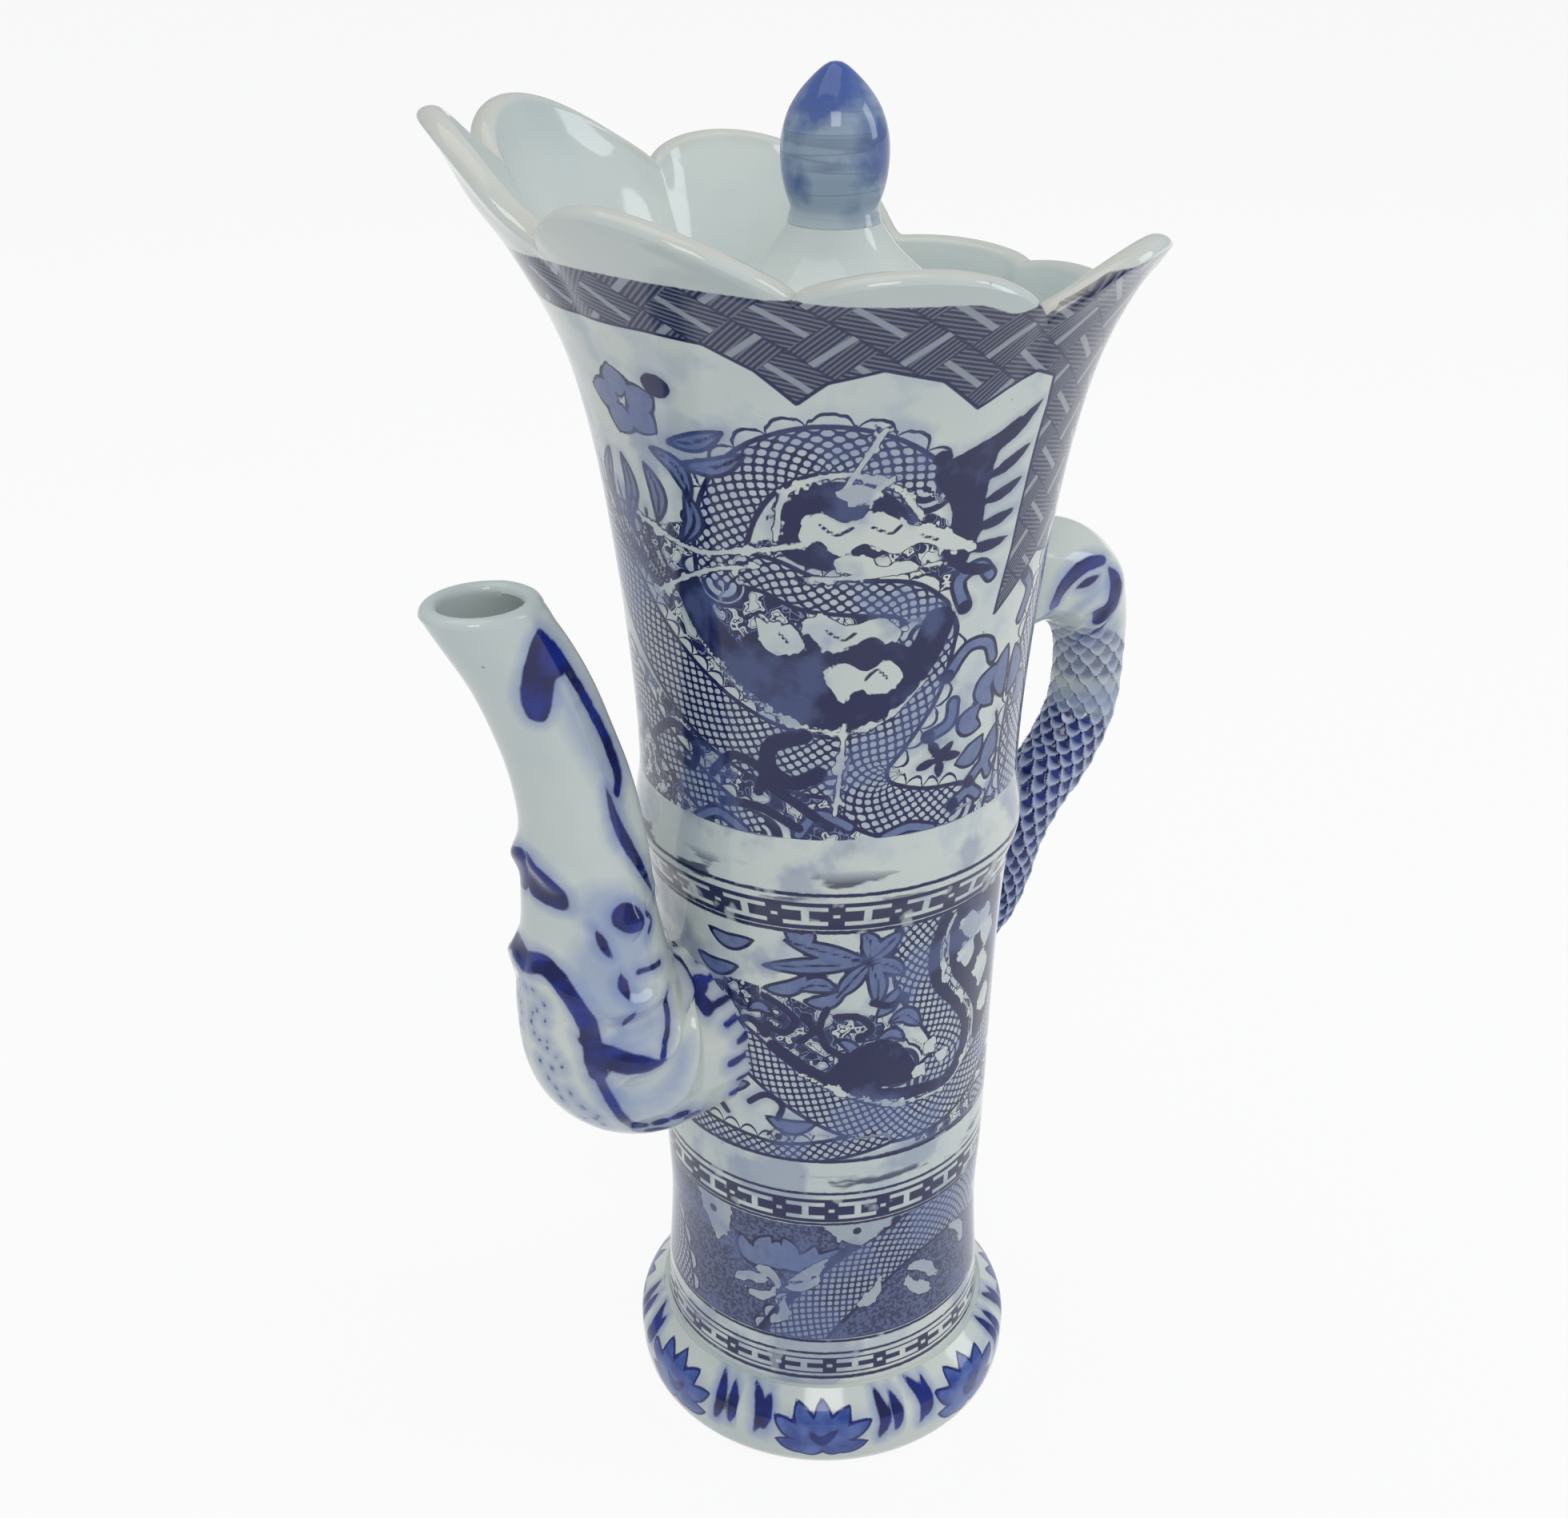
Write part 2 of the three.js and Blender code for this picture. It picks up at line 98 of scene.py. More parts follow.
BODY_LINE = [
    (LOWER[0], 39.8), (mix(*LOWER, 0.62), 38), (LOWER_RING[0], 38.7), (MIDDLE[0], 38.9), (mix(*MIDDLE, 0.5), 39.5),
    (mix(*MIDDLE, 0.75), 40.1), (UPPER_RING[0], 41.5), (mix(*UPPER_RING, 0.6), 43.5), (mix(*UPPER, 0.09), UPPER_FOOT),
    (mix(*UPPER, 0.4), 43.6), (mix(*UPPER, 0.75), mix(UPPER_FOOT, COLLAR_FOOT, 0.56)), (COLLAR_BASE, COLLAR_FOOT),
    (mix(COLLAR_BASE, NOTCH_LEVEL, 0.5), mix(COLLAR_FOOT, NOTCH_RADIUS, 0.36)), (NOTCH_LEVEL, NOTCH_RADIUS),
    (NOTCH_LEVEL + 11, 71.5), (NOTCH_LEVEL + 20.8, 76.4),
]


def body_radius(height):
    return smooth_line(BODY_LINE, height)


print("radius at the waist, girth and notches:", body_radius(np.array([50.0, 159.0, NOTCH_LEVEL])).round(1))

# %% [markdown]
# ## From a grid of points to a closed mesh
# A surface is a table of points: rows follow the profile and columns run round. Columns always meet. Rows either meet
# too, as in a hollow ring, or end in two poles. The sign of the enclosed volume tells whether the faces point out.

# %% Grid to mesh


def skin(name, rows, body, replaces, material, poles=None, fields=None, sharp=35):
    """Closes the grid rows[profile, round] of points in millimetres into a mesh, and hands it to the frame."""
    count, around = rows.shape[:2]
    points = rows.reshape(-1, 3)
    step = np.arange(count if poles is None else count - 1)[:, None]
    turn = np.arange(around)[None]
    after, beside = (step + 1) % count, (turn + 1) % around
    quads = np.stack(
        [step * around + turn, step * around + beside, after * around + beside, after * around + turn], -1
    ).reshape(-1, 4)
    triangles = np.zeros((0, 3), int)
    if poles is not None:
        points = np.vstack([points, poles])
        ring, last = turn[0], (count - 1) * around
        first_fan = np.stack([np.full(around, len(points) - 2), (ring + 1) % around, ring], -1)
        last_fan = np.stack([np.full(around, len(points) - 1), last + ring, last + (ring + 1) % around], -1)
        triangles = np.vstack([first_fan, last_fan])
    halves = np.vstack([quads[:, [0, 1, 2]], quads[:, [0, 2, 3]], triangles])
    a, b, c = points[halves].transpose(1, 0, 2)
    if np.einsum("ij,ij->", a, np.cross(b, c)) < 0:
        quads, triangles = quads[:, ::-1], triangles[:, ::-1]
    mesh = bpy.data.meshes.new(name)
    placed = (points + [AXIS[0], AXIS[1], 0]) * MM
    mesh.from_pydata(placed, [], quads.tolist() + triangles.tolist())
    for field, values in (fields or {}).items():
        values = values.reshape(-1)
        if poles is not None:
            values = np.r_[values, values[0], values[-1]]
        mesh.attributes.new(field, "FLOAT", "POINT").data.foreach_set("value", values.astype(np.float32))
    mesh.shade_smooth()
    mesh.set_sharp_from_angle(angle=np.radians(sharp))
    mesh.materials.append(material)
    piece = bpy.data.objects.new(name, mesh)
    bpy.context.scene.collection.objects.link(piece)
    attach(piece, body)
    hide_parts(*replaces)
    print(name, len(points), "points,", 2 * len(quads) + len(triangles), "triangles")


def turned(profile, around):
    """Rows of points: each (radius, height) of the profile carried round the axis."""
    radius, height = np.array(profile, float).T
    angle = np.linspace(0, 2 * np.pi, around, endpoint=False)
    rows = np.empty((len(radius), around, 3))
    rows[..., 0] = radius[:, None] * np.cos(angle)
    rows[..., 1] = radius[:, None] * np.sin(angle)
    rows[..., 2] = height[:, None]
    return rows


def spline(points, per_piece):
    """A curve through points: each cubic piece leaves a point along the line between its two neighbours."""
    p = np.array(points, float)
    p = np.vstack([p[:1], p, p[-1:]])
    t = np.linspace(0, 1, per_piece, endpoint=False)[None, :, None]
    a, b, c, d = (p[i:len(p) - 3 + i, None] for i in range(4))
    pieces = 0.5 * (2 * b + (c - a) * t + (2 * a - 5 * b + 4 * c - d) * t**2 + (3 * b - a - 3 * c + d) * t**3)
    return np.vstack([pieces.reshape(-1, p.shape[1]), p[-1:]])


# %% [markdown]
# ## Shader maths as sums
# A wire is one output in a material. With the signs overloaded, 1 - mask adds the node that works it out.

# %% Wires and nets


class Wire:
    """One output socket, so that sums of wires can be written as Python."""

    def __init__(self, net, socket):
        self.net, self.socket = net, socket

    def sum(self, operation, *others):
        return self.net.node("ShaderNodeMath", {"operation": operation}, dict(enumerate((self, *others))))

    def __add__(self, other):
        return self.sum("ADD", other)

    def __mul__(self, other):
        return self.sum("MULTIPLY", other)

    __radd__, __rmul__ = __add__, __mul__

    def __sub__(self, other):
        return self.sum("SUBTRACT", other)

    def __rsub__(self, other):
        return self.net.node("ShaderNodeMath", {"operation": "SUBTRACT"}, {0: other, 1: self})

    def __abs__(self):
        return self.sum("ABSOLUTE")


class Net:
    """A material and its nodes."""

    def __init__(self, name):
        self.material = bpy.data.materials.new(name)
        self.material.use_nodes = True
        self.tree = self.material.node_tree
        self.tree.nodes.clear()

    def node(self, kind, settings=None, sockets=None, out=0):
        """Adds a node: its settings first, then a value or a wire for each named or numbered input."""
        made = self.tree.nodes.new(kind)
        for key, value in (settings or {}).items():
            setattr(made, key, value)
        for key, value in (sockets or {}).items():
            if isinstance(value, Wire):
                self.tree.links.new(value.socket, made.inputs[key])
            else:
                made.inputs[key].default_value = value
        return Wire(self, made.outputs[out]) if made.outputs else None

    def field(self, name):
        return self.node("ShaderNodeAttribute", {"attribute_name": name}, out="Fac")

    def below(self, value, edge, soft):
        """1 where value is under the edge, 0 over it, with a soft step between."""
        inputs = {0: value, 1: edge - soft / 2, 2: edge + soft / 2, 3: 1.0, 4: 0.0}
        return self.node("ShaderNodeMapRange", {"clamp": True}, inputs)

    def noise(self, place, scale, detail=2.0):
        return self.node("ShaderNodeTexNoise", {}, {"Vector": place, "Scale": scale, "Detail": detail})

    def colour(self, share, low, high):
        """Mixes two colours, each a wire or three numbers."""
        full = [(*c, 1.0) if isinstance(c, tuple) else c for c in (low, high)]
        return self.node("ShaderNodeMix", {"data_type": "RGBA"}, {"Factor": share, 6: full[0], 7: full[1]}, out=2)


def srgb(red, green, blue):
    """A colour as it looks on a screen, 0 to 255, as the linear numbers that a material takes."""
    c = np.array([red, green, blue]) / 255
    return tuple(float(v) for v in np.where(c <= 0.04045, c / 12.92, ((c + 0.055) / 1.055) ** 2.4))


# %% [markdown]
# ## The glaze
# Clear glaze over a grey-green body is one glossy skin. Its colour sits under it and never changes the gloss. It pools
# and ripples a little, which a faint wide bump gives. A warm tint along the lip edge is a painted reflection of warm
# surroundings.

# %% Colours and the glaze

GLAZE = srgb(214, 220, 214)
GLAZE_COOL = srgb(200, 210, 209)
# a warm tint for the painted reflection along the lip edge
WARM_REFLECTION = srgb(206, 198, 184)
NAVY = srgb(14, 22, 78)
NAVY_GREY = srgb(28, 36, 80)
MID_BLUE = srgb(80, 98, 146)
WASH = srgb(150, 166, 198)
COBALT = srgb(20, 42, 136)


def pot_place(net):
    """Object coordinates measured from the pot's axis, in millimetres."""
    from_origin = net.node("ShaderNodeTexCoord", out="Object")
    shift = (-AXIS[0] * MM, -AXIS[1] * MM, 0)
    near = net.node("ShaderNodeVectorMath", {"operation": "ADD"}, {0: from_origin, 1: shift})
    return net.node("ShaderNodeVectorMath", {"operation": "SCALE"}, {0: near, "Scale": 1000.0})


def glaze_colour(net, place):
    """Uneven pale glaze: cool and warm drifts, and rare dark specks."""
    drift = net.noise(place, 0.02, 3.0)
    base = net.colour(net.below(drift, 0.5, 0.25), GLAZE, GLAZE_COOL)
    specks = net.node("ShaderNodeTexVoronoi", {}, {"Vector": place, "Scale": 0.09})
    return net.colour(net.below(specks, 0.028, 0.02) * 0.6, base, srgb(88, 84, 78))


def finish(net, place, colour):
    """The glossy glaze itself, with ripples."""
    ripple = net.noise(place, 0.05, 1.0) + net.noise(place, 0.35, 1.0) * 0.12
    bump = net.node("ShaderNodeBump", {}, {"Strength": 0.12, "Distance": 0.001, "Height": ripple})
    looks = {"Base Color": colour, "Roughness": 0.09, "IOR": 1.48, "Normal": bump}
    shader = net.node("ShaderNodeBsdfPrincipled", {}, looks)
    net.node("ShaderNodeOutputMaterial", {}, {"Surface": shader})
    return net.material


plain_net = Net("clear_glaze")
plain_place = pot_place(plain_net)
CLEAR_GLAZE = finish(plain_net, plain_place, glaze_colour(plain_net, plain_place))

# %% [markdown]
# ## Drawing on a surface
# The print is line work half a millimetre thin, finer than any mesh. So each surface is laid out flat in millimetres,
# and every point keeps its distance to the nearest drawn edge. Distances blend smoothly between points, and the
# material cuts them at nought, which gives crisp edges at any size.

# %% Sketch


def nearest_piece(u, v, path):
    """Distance from each point to a path, which side it is on, and the length along the path to there."""
    a, b = path[:-1], path[1:]
    along = b - a
    size = np.maximum((along**2).sum(1), 1e-9)
    du, dv = u[:, None] - a[:, 0], v[:, None] - a[:, 1]
    t = np.clip((du * along[:, 0] + dv * along[:, 1]) / size, 0, 1)
    gap = np.hypot(du - t * along[:, 0], dv - t * along[:, 1])
    k = gap.argmin(1)
    row = np.arange(len(u))
    side = np.sign(along[k, 0] * dv[row, k] - along[k, 1] * du[row, k])
    done = np.r_[0, np.cumsum(np.sqrt(size))]
    return gap[row, k], side, done[k] + t[row, k] * np.sqrt(size[k]), done[-1]


class Sketch:
    """Layers of signed distances, in millimetres, from flat places (u, v) to what is drawn: below nought is inside."""

    FAR = 9.0

    def __init__(self, u, v):
        self.u, self.v, self.shape_of = u.ravel(), v.ravel(), u.shape
        self.layers, self.limits = {}, (-1e6, 1e6)

    def near(self, path, reach):
        low, high = path.min(0) - reach, path.max(0) + reach
        low[1], high[1] = max(low[1], self.limits[0]), min(high[1], self.limits[1])
        return np.flatnonzero((self.u > low[0]) & (self.u < high[0]) & (self.v > low[1]) & (self.v < high[1]))

    def layer(self, name):
        return self.layers.setdefault(name, np.full(self.u.size, self.FAR))

    def put(self, name, chosen, distance):
        field = self.layer(name)
        field[chosen] = np.minimum(field[chosen], distance)

    def line(self, name, width, points, leaf=False):
        """A stroke of one width, or a leaf that swells in the middle and ends in points."""
        path = spline(points, 6) if len(points) > 2 else np.array(points, float)
        chosen = self.near(path, 3 + width)
        if not len(chosen):
            return
        gap, _, done, whole = nearest_piece(self.u[chosen], self.v[chosen], path)
        swell = np.sin(np.pi * np.clip(done / whole, 0, 1)) ** 0.8 if leaf else 1
        self.put(name, chosen, gap - width / 2 * swell)

    def area(self, name, points, smooth=True):
        """A closed shape: the distance to its outline, negative inside, where a ray crosses it oddly often."""
        p = np.array(points, float)
        path = spline(np.vstack([p[-2:], p, p[:2]]), 5)[10:-5] if smooth else np.vstack([p, p[:1]])
        path = np.vstack([path, path[:1]])
        chosen = self.near(path, 3)
        if not len(chosen):
            return
        u, v = self.u[chosen], self.v[chosen]
        gap = nearest_piece(u, v, path)[0]
        a, b = path[:-1], path[1:]
        spans = (a[:, 1] > v[:, None]) != (b[:, 1] > v[:, None])
        rise = np.where(np.abs(b[:, 1] - a[:, 1]) < 1e-9, 1e-9, b[:, 1] - a[:, 1])
        crossing = a[:, 0] + (v[:, None] - a[:, 1]) * (b[:, 0] - a[:, 0]) / rise
        inside = (spans & (u[:, None] < crossing)).sum(1) % 2 == 1
        self.put(name, chosen, np.where(inside, -gap, gap))

    def lines(self, name, width, paths, leaf=False):
        for path in paths:
            self.line(name, width, path, leaf)

    def dot(self, name, radius, place):
        self.line(name, 2 * radius, [place, (place[0] + 0.01, place[1])])

    def coil(self, width, points):
        """A scaly body: keeps the length along it and the offset across it, for the lattice of scales."""
        path = spline(points, 6)
        chosen = self.near(path, width)
        gap, side, done, _ = nearest_piece(self.u[chosen], self.v[chosen], path)
        edge = self.layer("coil")
        better = gap - width / 2 < edge[chosen]
        chosen = chosen[better]
        edge[chosen] = (gap - width / 2)[better]
        self.layer("coil_along")[chosen] = done[better]
        self.layer("coil_across")[chosen] = (gap * side)[better]

    def fields(self, *names):
        return {name: self.layer(name).reshape(self.shape_of) for name in names}


# %% [markdown]
# ## What the print shows
# Transfer prints are cut from sheets and laid on by hand, one to each half of the pot. Each storey has a coiled, scaly
# body in lattice, with cloud shapes, lotus flowers and scrolls round it. Places are (round the pot, up), both in
# millimetres, and round is measured on a circle of 40 mm radius, so that one sheet is half a turn.

# %% The print

PRINT_RADIUS = 40  # of the circle that lengths round the pot are measured on
SHEET = PRINT_RADIUS * np.pi
SHEET_START = -30.0
PRINT_TOP = 288.0
PANEL_FOOT = 218  # the basket work outside the panels ends here
FRETS = ((150, 157.6), (69.2, 76), (23.6, 28.2))
RULED_LINES = (
    (159.6, 0.45), (149.3, 0.5), (77.6, 0.4), (68.6, 0.4), (29.6, 0.35), (33.2, 0.4), (22.4, 0.5), (87.0, 0.45)
)
UPPER_PANEL = [
    (-20, 279), (-2, 279), (12, 279), (20, 278), (26, 273.5), (31, 267), (35, 271.5), (42, 274), (50, 271), (56, 264.5),
    (60, 267.5), (65, 270), (69, 268), (70, 262), (70, 245), (69.5, 232), (67.5, 218), (72, 222), (79, 228), (86, 226),
    (86, 170), (-20, 170),
]


def upper_print(s):
    s.limits = (171.5, 320)
    s.area("panel", UPPER_PANEL, smooth=False)
    # close-set clouds and curls between the coils
    s.area("busy", [(-31, 244), (-8, 240), (4, 238), (14, 240), (24, 238), (33, 247), (44, 247), (56, 240),
        (58, 226), (55, 212), (48, 201), (38, 197), (26, 199), (14, 207), (2, 222), (-10, 232), (-31, 234)])
    s.area("busy", [(-31, 212), (-10, 204), (6, 194), (20, 186), (34, 183), (40, 178), (41, 172), (20, 171),
        (-31, 171)])
    s.area("busy", [(88, 226), (97, 240), (97, 171), (84, 171), (88, 200)])
    s.area("busy", [(56, 176), (64, 178), (72, 176), (78, 171), (56, 170)])
    s.coil(9.5, [(17, 228), (17.5, 238), (21, 248), (27, 255), (35, 258), (43, 255.5), (50, 249)])
    s.coil(7.5, [(21, 232), (26, 231), (32, 228), (40, 227), (48, 226), (53, 222)])
    s.coil(14, [(-40, 220), (-29, 230), (-19, 230), (-11, 223), (-3, 212), (6, 203), (16, 195.5), (27, 190.5),
        (36, 189)])
    s.coil(12, [(53, 217), (51, 206), (46, 197), (41, 189), (43, 181), (52, 176.5), (62, 175)])
    s.coil(12, [(85, 166), (82, 184), (84, 200), (88, 216), (95, 230), (104, 236)])
    s.coil(9, [(-40, 198), (-26, 202), (-12, 196), (-4, 188), (6, 181), (15, 175), (22, 172)])
    # the dark crescent under the loop, and the loop's own shadow
    s.line("navy", 6.5, [(10, 226), (14, 217), (22, 208.5), (30, 203), (38, 201), (46, 204), (52, 212), (55, 220)])
    s.area("navy", [(28, 236), (27, 243), (31, 250), (38, 251.5), (45, 248), (49, 240), (44, 236), (35, 233)])
    s.area("navy", [(20, 216), (27, 220), (37, 219), (47, 217), (51, 212), (44, 206), (36, 204), (27, 207)])
    # feathered spikes at the right of the panel
    s.area("navy", [(51, 252), (56, 256), (61, 258.5), (65, 261), (62, 255), (61, 247), (61, 238), (58, 231),
        (54, 235), (55, 243)])
    for tip, root in (((68.5, 263.5), (60, 254)), ((68.5, 254.5), (60, 249)), ((68.5, 247.5), (60, 244)),
            ((68.5, 241), (59, 239)), ((68, 235), (58, 235)), ((66, 229), (56, 232))):
        s.line("navy", 2.6, [root, mix(np.array(root), np.array(tip), 0.5) + [0, -0.6], tip], leaf=True)
    s.dot("navy", 1.6, (52, 255))
    # clouds, which are left white
    s.area("pale", [(31, 242), (34, 245), (38, 243), (43, 245), (48, 242), (53, 240.5), (57, 238), (60, 235),
        (55, 235.5), (50, 238), (46, 236), (41, 238.5), (37, 236), (34, 239), (31, 239)])
    s.area("pale", [(36, 235), (40, 236), (44, 233.5), (48, 234.5), (50, 232.5), (44, 231.5), (38, 232.5)])
    s.lines("navy_over", 0.7, [[(34, 242.5), (36.5, 240.5), (39, 242)], [(42, 242), (45, 240.5), (46.5, 242)],
        [(50, 239.5), (53, 238)], [(27, 219), (28.5, 217)], [(35, 220), (38, 218), (40, 219.5)],
        [(42, 209), (44, 211), (46, 209)]])
    s.area("pale", [(37, 250), (40, 251), (43, 248.5), (40, 247), (37, 248)])
    s.area("pale", [(23, 222), (26, 220), (29, 221), (31, 217), (27, 214), (24, 216)])
    s.area("pale", [(31, 222), (35, 223), (39, 221), (44, 222.5), (48, 219), (44, 216), (40, 217), (36, 215.5),
        (33, 218)])
    s.area("pale", [(35, 210), (38, 213), (42, 211), (46, 213), (49, 209), (45, 205.5), (41, 207), (38, 204.5),
        (36, 207)])
    s.area("navy_over", [(40, 216.5), (43, 218.5), (45.5, 216), (44, 212.5), (41, 213)])
    s.line("pale", 0.7, [(12, 214), (20, 204.5), (30, 198.6), (38, 197), (46, 199.5), (53, 207)])
    s.line("pale", 1.0, [(27, 239), (29, 249), (37, 253), (45, 250), (50, 243)])
    s.line("pale", 1.0, [(43, 262), (40, 255), (37, 248.5)])
    s.line("pale", 1.0, [(0, 238), (12, 234), (22, 236), (31, 238)])
    s.line("pale", 0.9, [(2, 222), (14, 230), (24, 233)])
    s.line("pale", 0.9, [(38.5, 199), (38, 189), (37, 178)])
    s.line("pale", 0.9, [(31, 231), (42, 231.5), (54, 233)])
    # a shell of scales in the dark under the loop
    s.coil(7.5, [(23, 211), (27, 212.5), (32, 210)])
    # swirl low in the middle
    s.line("navy", 3.4, [(31, 196), (25, 193.5), (24.5, 188), (29, 185), (34, 187.5)])
    s.line("navy", 2.2, [(24, 184), (30, 180), (36, 175)])
    # lotus at the right, one petal at a time
    s.lines("leaf", 5.0, [[(71, 206), (67.5, 201), (71, 196.5)], [(74, 209), (72.5, 203), (74, 197)],
        [(77, 208), (78.5, 202), (76, 196.5)], [(67, 198), (64, 194.5), (68, 192.5)],
        [(80, 200), (83, 196), (79, 193)], [(69, 190), (66, 186.5), (62, 185.5)],
        [(73, 191), (72, 186), (69, 182)]], leaf=True)
    s.line("navy", 0.9, [(73, 194), (74.5, 186), (74, 178), (71, 173)])
    s.line("navy", 0.8, [(77, 193), (80, 184), (78, 175)])
    # scrolls and a star of leaves between the lotus and the coil
    for scroll in ([(58, 207), (62, 212.5), (67, 212), (69, 208)], [(55, 194), (59.5, 196), (60, 200.5)],
            [(60, 222), (58, 228), (62, 230.5), (65, 227.5)], [(66, 180), (70, 183), (72, 180)],
            [(62, 176), (66, 178), (69, 176)], [(76, 224), (79, 220), (77, 214)]):
        s.line("leaf", 2.6, scroll)
        s.dot("navy", 1.5, scroll[0])
    star = np.array((57.5, 188))
    for tip in ((55, 193), (61, 191.5), (63.5, 187.5), (58, 183.5), (52.5, 186.5)):
        s.line("navy", 2.2, [star, mix(star, np.array(tip), 0.5) + [0.3, 0.3], tip], leaf=True)
    # lower left: curls of leaf on white
    s.lines("navy", 2.1, [[(-6, 186), (2, 192), (8, 189), (7, 184), (3, 184.5)],
        [(12, 184), (17, 189.5), (23, 187), (22, 182)], [(14, 178), (22, 178.5), (30, 174.5)],
        [(-14, 182), (-10, 187), (-5, 184)]])
    s.lines("leaf", 2.4, [[(30, 173), (34, 178), (40, 175)], [(47, 172), (52, 173.5), (57, 172)],
        [(8, 172), (13, 175), (19, 172)]])
    # blossom and bamboo at the upper left
    blossom = np.array((2.5, 262))
    for turn in range(5):
        way = np.array([np.cos(1.3 * turn + 0.4), np.sin(1.3 * turn + 0.4)])
        s.line("leaf", 6.4, [blossom + out * way for out in (1.0, 4.4, 7.6)], leaf=True)
    s.dot("navy", 2.5, (10.5, 267.5))
    for leaf in ([(6, 254), (11, 251), (13, 245)], [(10, 256), (15, 257), (20, 260)],
            [(12, 252), (18, 252.5), (23, 256)], [(4, 250), (6, 244), (5, 238)], [(-6, 250), (-9, 243), (-8, 236)],
            [(-2, 250), (-1, 243), (-4, 236)], [(12, 246), (13, 240), (10, 235)]):
        s.line("leaf", 3.4, leaf, leaf=True)
        s.line("navy", 0.7, leaf)
    for k in range(9):
        s.line("navy", 0.8, [(-16 + 2.6 * k, 247 - k), (-13 + 2.2 * k, 236 - 0.6 * k), (-6 + 1.8 * k, 226 - 0.3 * k)])


def middle_print(s):
    s.limits = (86.5, 149.2)
    s.area("busy", [(10, 132), (24, 133), (36, 128), (48, 126), (54, 118), (50, 106), (38, 110), (26, 117),
        (14, 122)])
    s.area("busy", [(60, 92), (70, 96), (80, 101), (92, 108), (95, 92), (80, 88), (60, 88)])
    s.coil(11, [(56, 149), (55.5, 141), (57, 133), (62, 125), (66, 118), (67, 110), (61, 105.5)])
    s.coil(10, [(-38, 120), (-26, 127), (-8, 127), (8, 121), (16, 116.5), (23, 111), (30, 106), (40, 100), (50, 96),
        (62, 95.5), (74, 99), (84, 106), (92, 118), (104, 128)])
    s.coil(5.5, [(80, 91), (104, 92)])
    s.coil(5.5, [(-40, 92), (2, 90), (16, 89), (26, 88.5), (38, 90.5), (50, 93)])
    s.line("navy", 3.2, [(63, 148), (60.5, 140), (62, 131), (68, 123.5), (72.5, 116), (72, 108), (67, 103),
        (60, 103), (50, 104.5), (40, 108), (31, 113), (24, 118)])
    s.line("pale", 0.8, [(65.5, 148), (63, 140), (64.5, 131), (70.5, 123), (75, 115.5), (74, 107.5), (68.5, 101.5),
        (61, 100.6), (50, 102), (40, 106), (30, 111.3)])
    s.area("navy", [(36, 108), (38, 114), (44, 119), (51, 119), (56, 113), (57, 107), (48, 107)])
    s.coil(9.5, [(41, 110), (46, 113), (53, 111)])
    for oval in (((57, 107), (59.5, 110)), ((59.5, 112.5), (62, 116)), ((64, 108.5), (66, 111.5))):
        s.line("pale", 3.4, [oval[0], mix(np.array(oval[0]), np.array(oval[1]), 0.5), oval[1]], leaf=True)
    # dark ground to the right with clouds left white
    s.area("navy", [(66, 149), (64.5, 141), (66, 132), (71, 125), (76, 117), (77, 108), (84, 112), (88, 124),
        (87, 138), (83, 149)])
    for cloud in ([(68, 143), (71, 146), (75, 143), (78, 145), (80, 141), (76, 138), (71, 139)],
            [(68, 136), (72, 138), (74, 134), (71, 131)], [(76, 138), (80, 140), (83, 136), (79, 133)],
            [(75, 129), (79, 131), (82, 127), (78, 123)], [(79, 119), (83, 121), (84, 116), (80, 114)]):
        s.area("pale", cloud)
    # a star of long leaves
    for leaf in ([(45, 141), (36, 144), (27, 146.5)], [(45, 141), (34, 140.5), (22, 139)],
            [(45, 141), (41, 136), (38, 132)], [(45, 141), (47, 135), (47, 129)], [(45, 141), (49, 145), (52, 148)],
            [(45, 141), (45, 146), (43, 149)], [(45, 141), (50, 139), (53, 136)], [(50, 124), (54, 125), (58, 121)],
            [(30, 134), (34, 135.5), (38, 134)]):
        s.line("leaf", 4.2, leaf, leaf=True)
        s.line("navy", 0.6, leaf)
    for vine in ([(22, 131), (26, 129), (29, 125.5), (27, 122), (23, 123)],
            [(36, 129), (34.5, 124), (36, 119), (40, 116)], [(38, 127), (43, 126.5), (46, 123), (43.5, 121)],
            [(30, 120), (33, 123), (31.5, 126.5)], [(46, 130), (50, 128.5), (53, 130)],
            [(14, 120), (18, 124), (22, 121)]):
        s.line("navy", 1.8, vine)
        s.dot("navy", 1.4, vine[-1])
    for curl in ([(38, 121), (42, 118), (40, 114)], [(47, 119.5), (51, 121), (54, 118)],
            [(24, 126), (21, 128), (18, 126)]):
        s.line("leaf", 2.6, curl, leaf=True)
    s.line("navy", 0.8, [(10, 87.3), (30, 87), (55, 87.5), (80, 88)])
    s.dot("navy", 1.0, (25, 93))
    s.line("navy", 0.6, [(22.4, 93), (25, 95.4), (27.6, 93), (25, 90.6), (22.4, 93)])
    for leaf in ([(32, 138), (28, 134), (22, 133)], [(52, 133), (50, 129), (47, 126)],
            [(20, 145), (14, 143), (9, 145)], [(16, 137), (10, 135), (5, 137)], [(33, 150), (31, 147), (27, 149)],
            [(40, 134), (36, 131), (31, 131)], [(14, 112), (8, 116), (3, 114)], [(18, 106), (12, 104), (6, 106)],
            [(34, 98), (28, 96), (22, 98)]):
        s.line("leaf", 3.8, leaf, leaf=True)
    s.lines("navy", 1.6, [[(18, 101), (22, 104), (26, 102), (25, 98)], [(6, 128), (11, 131), (14, 128), (12, 124)],
        [(48, 113), (52, 111)], [(43, 111), (46, 108.5)], [(2, 97), (8, 99), (12, 96)]])
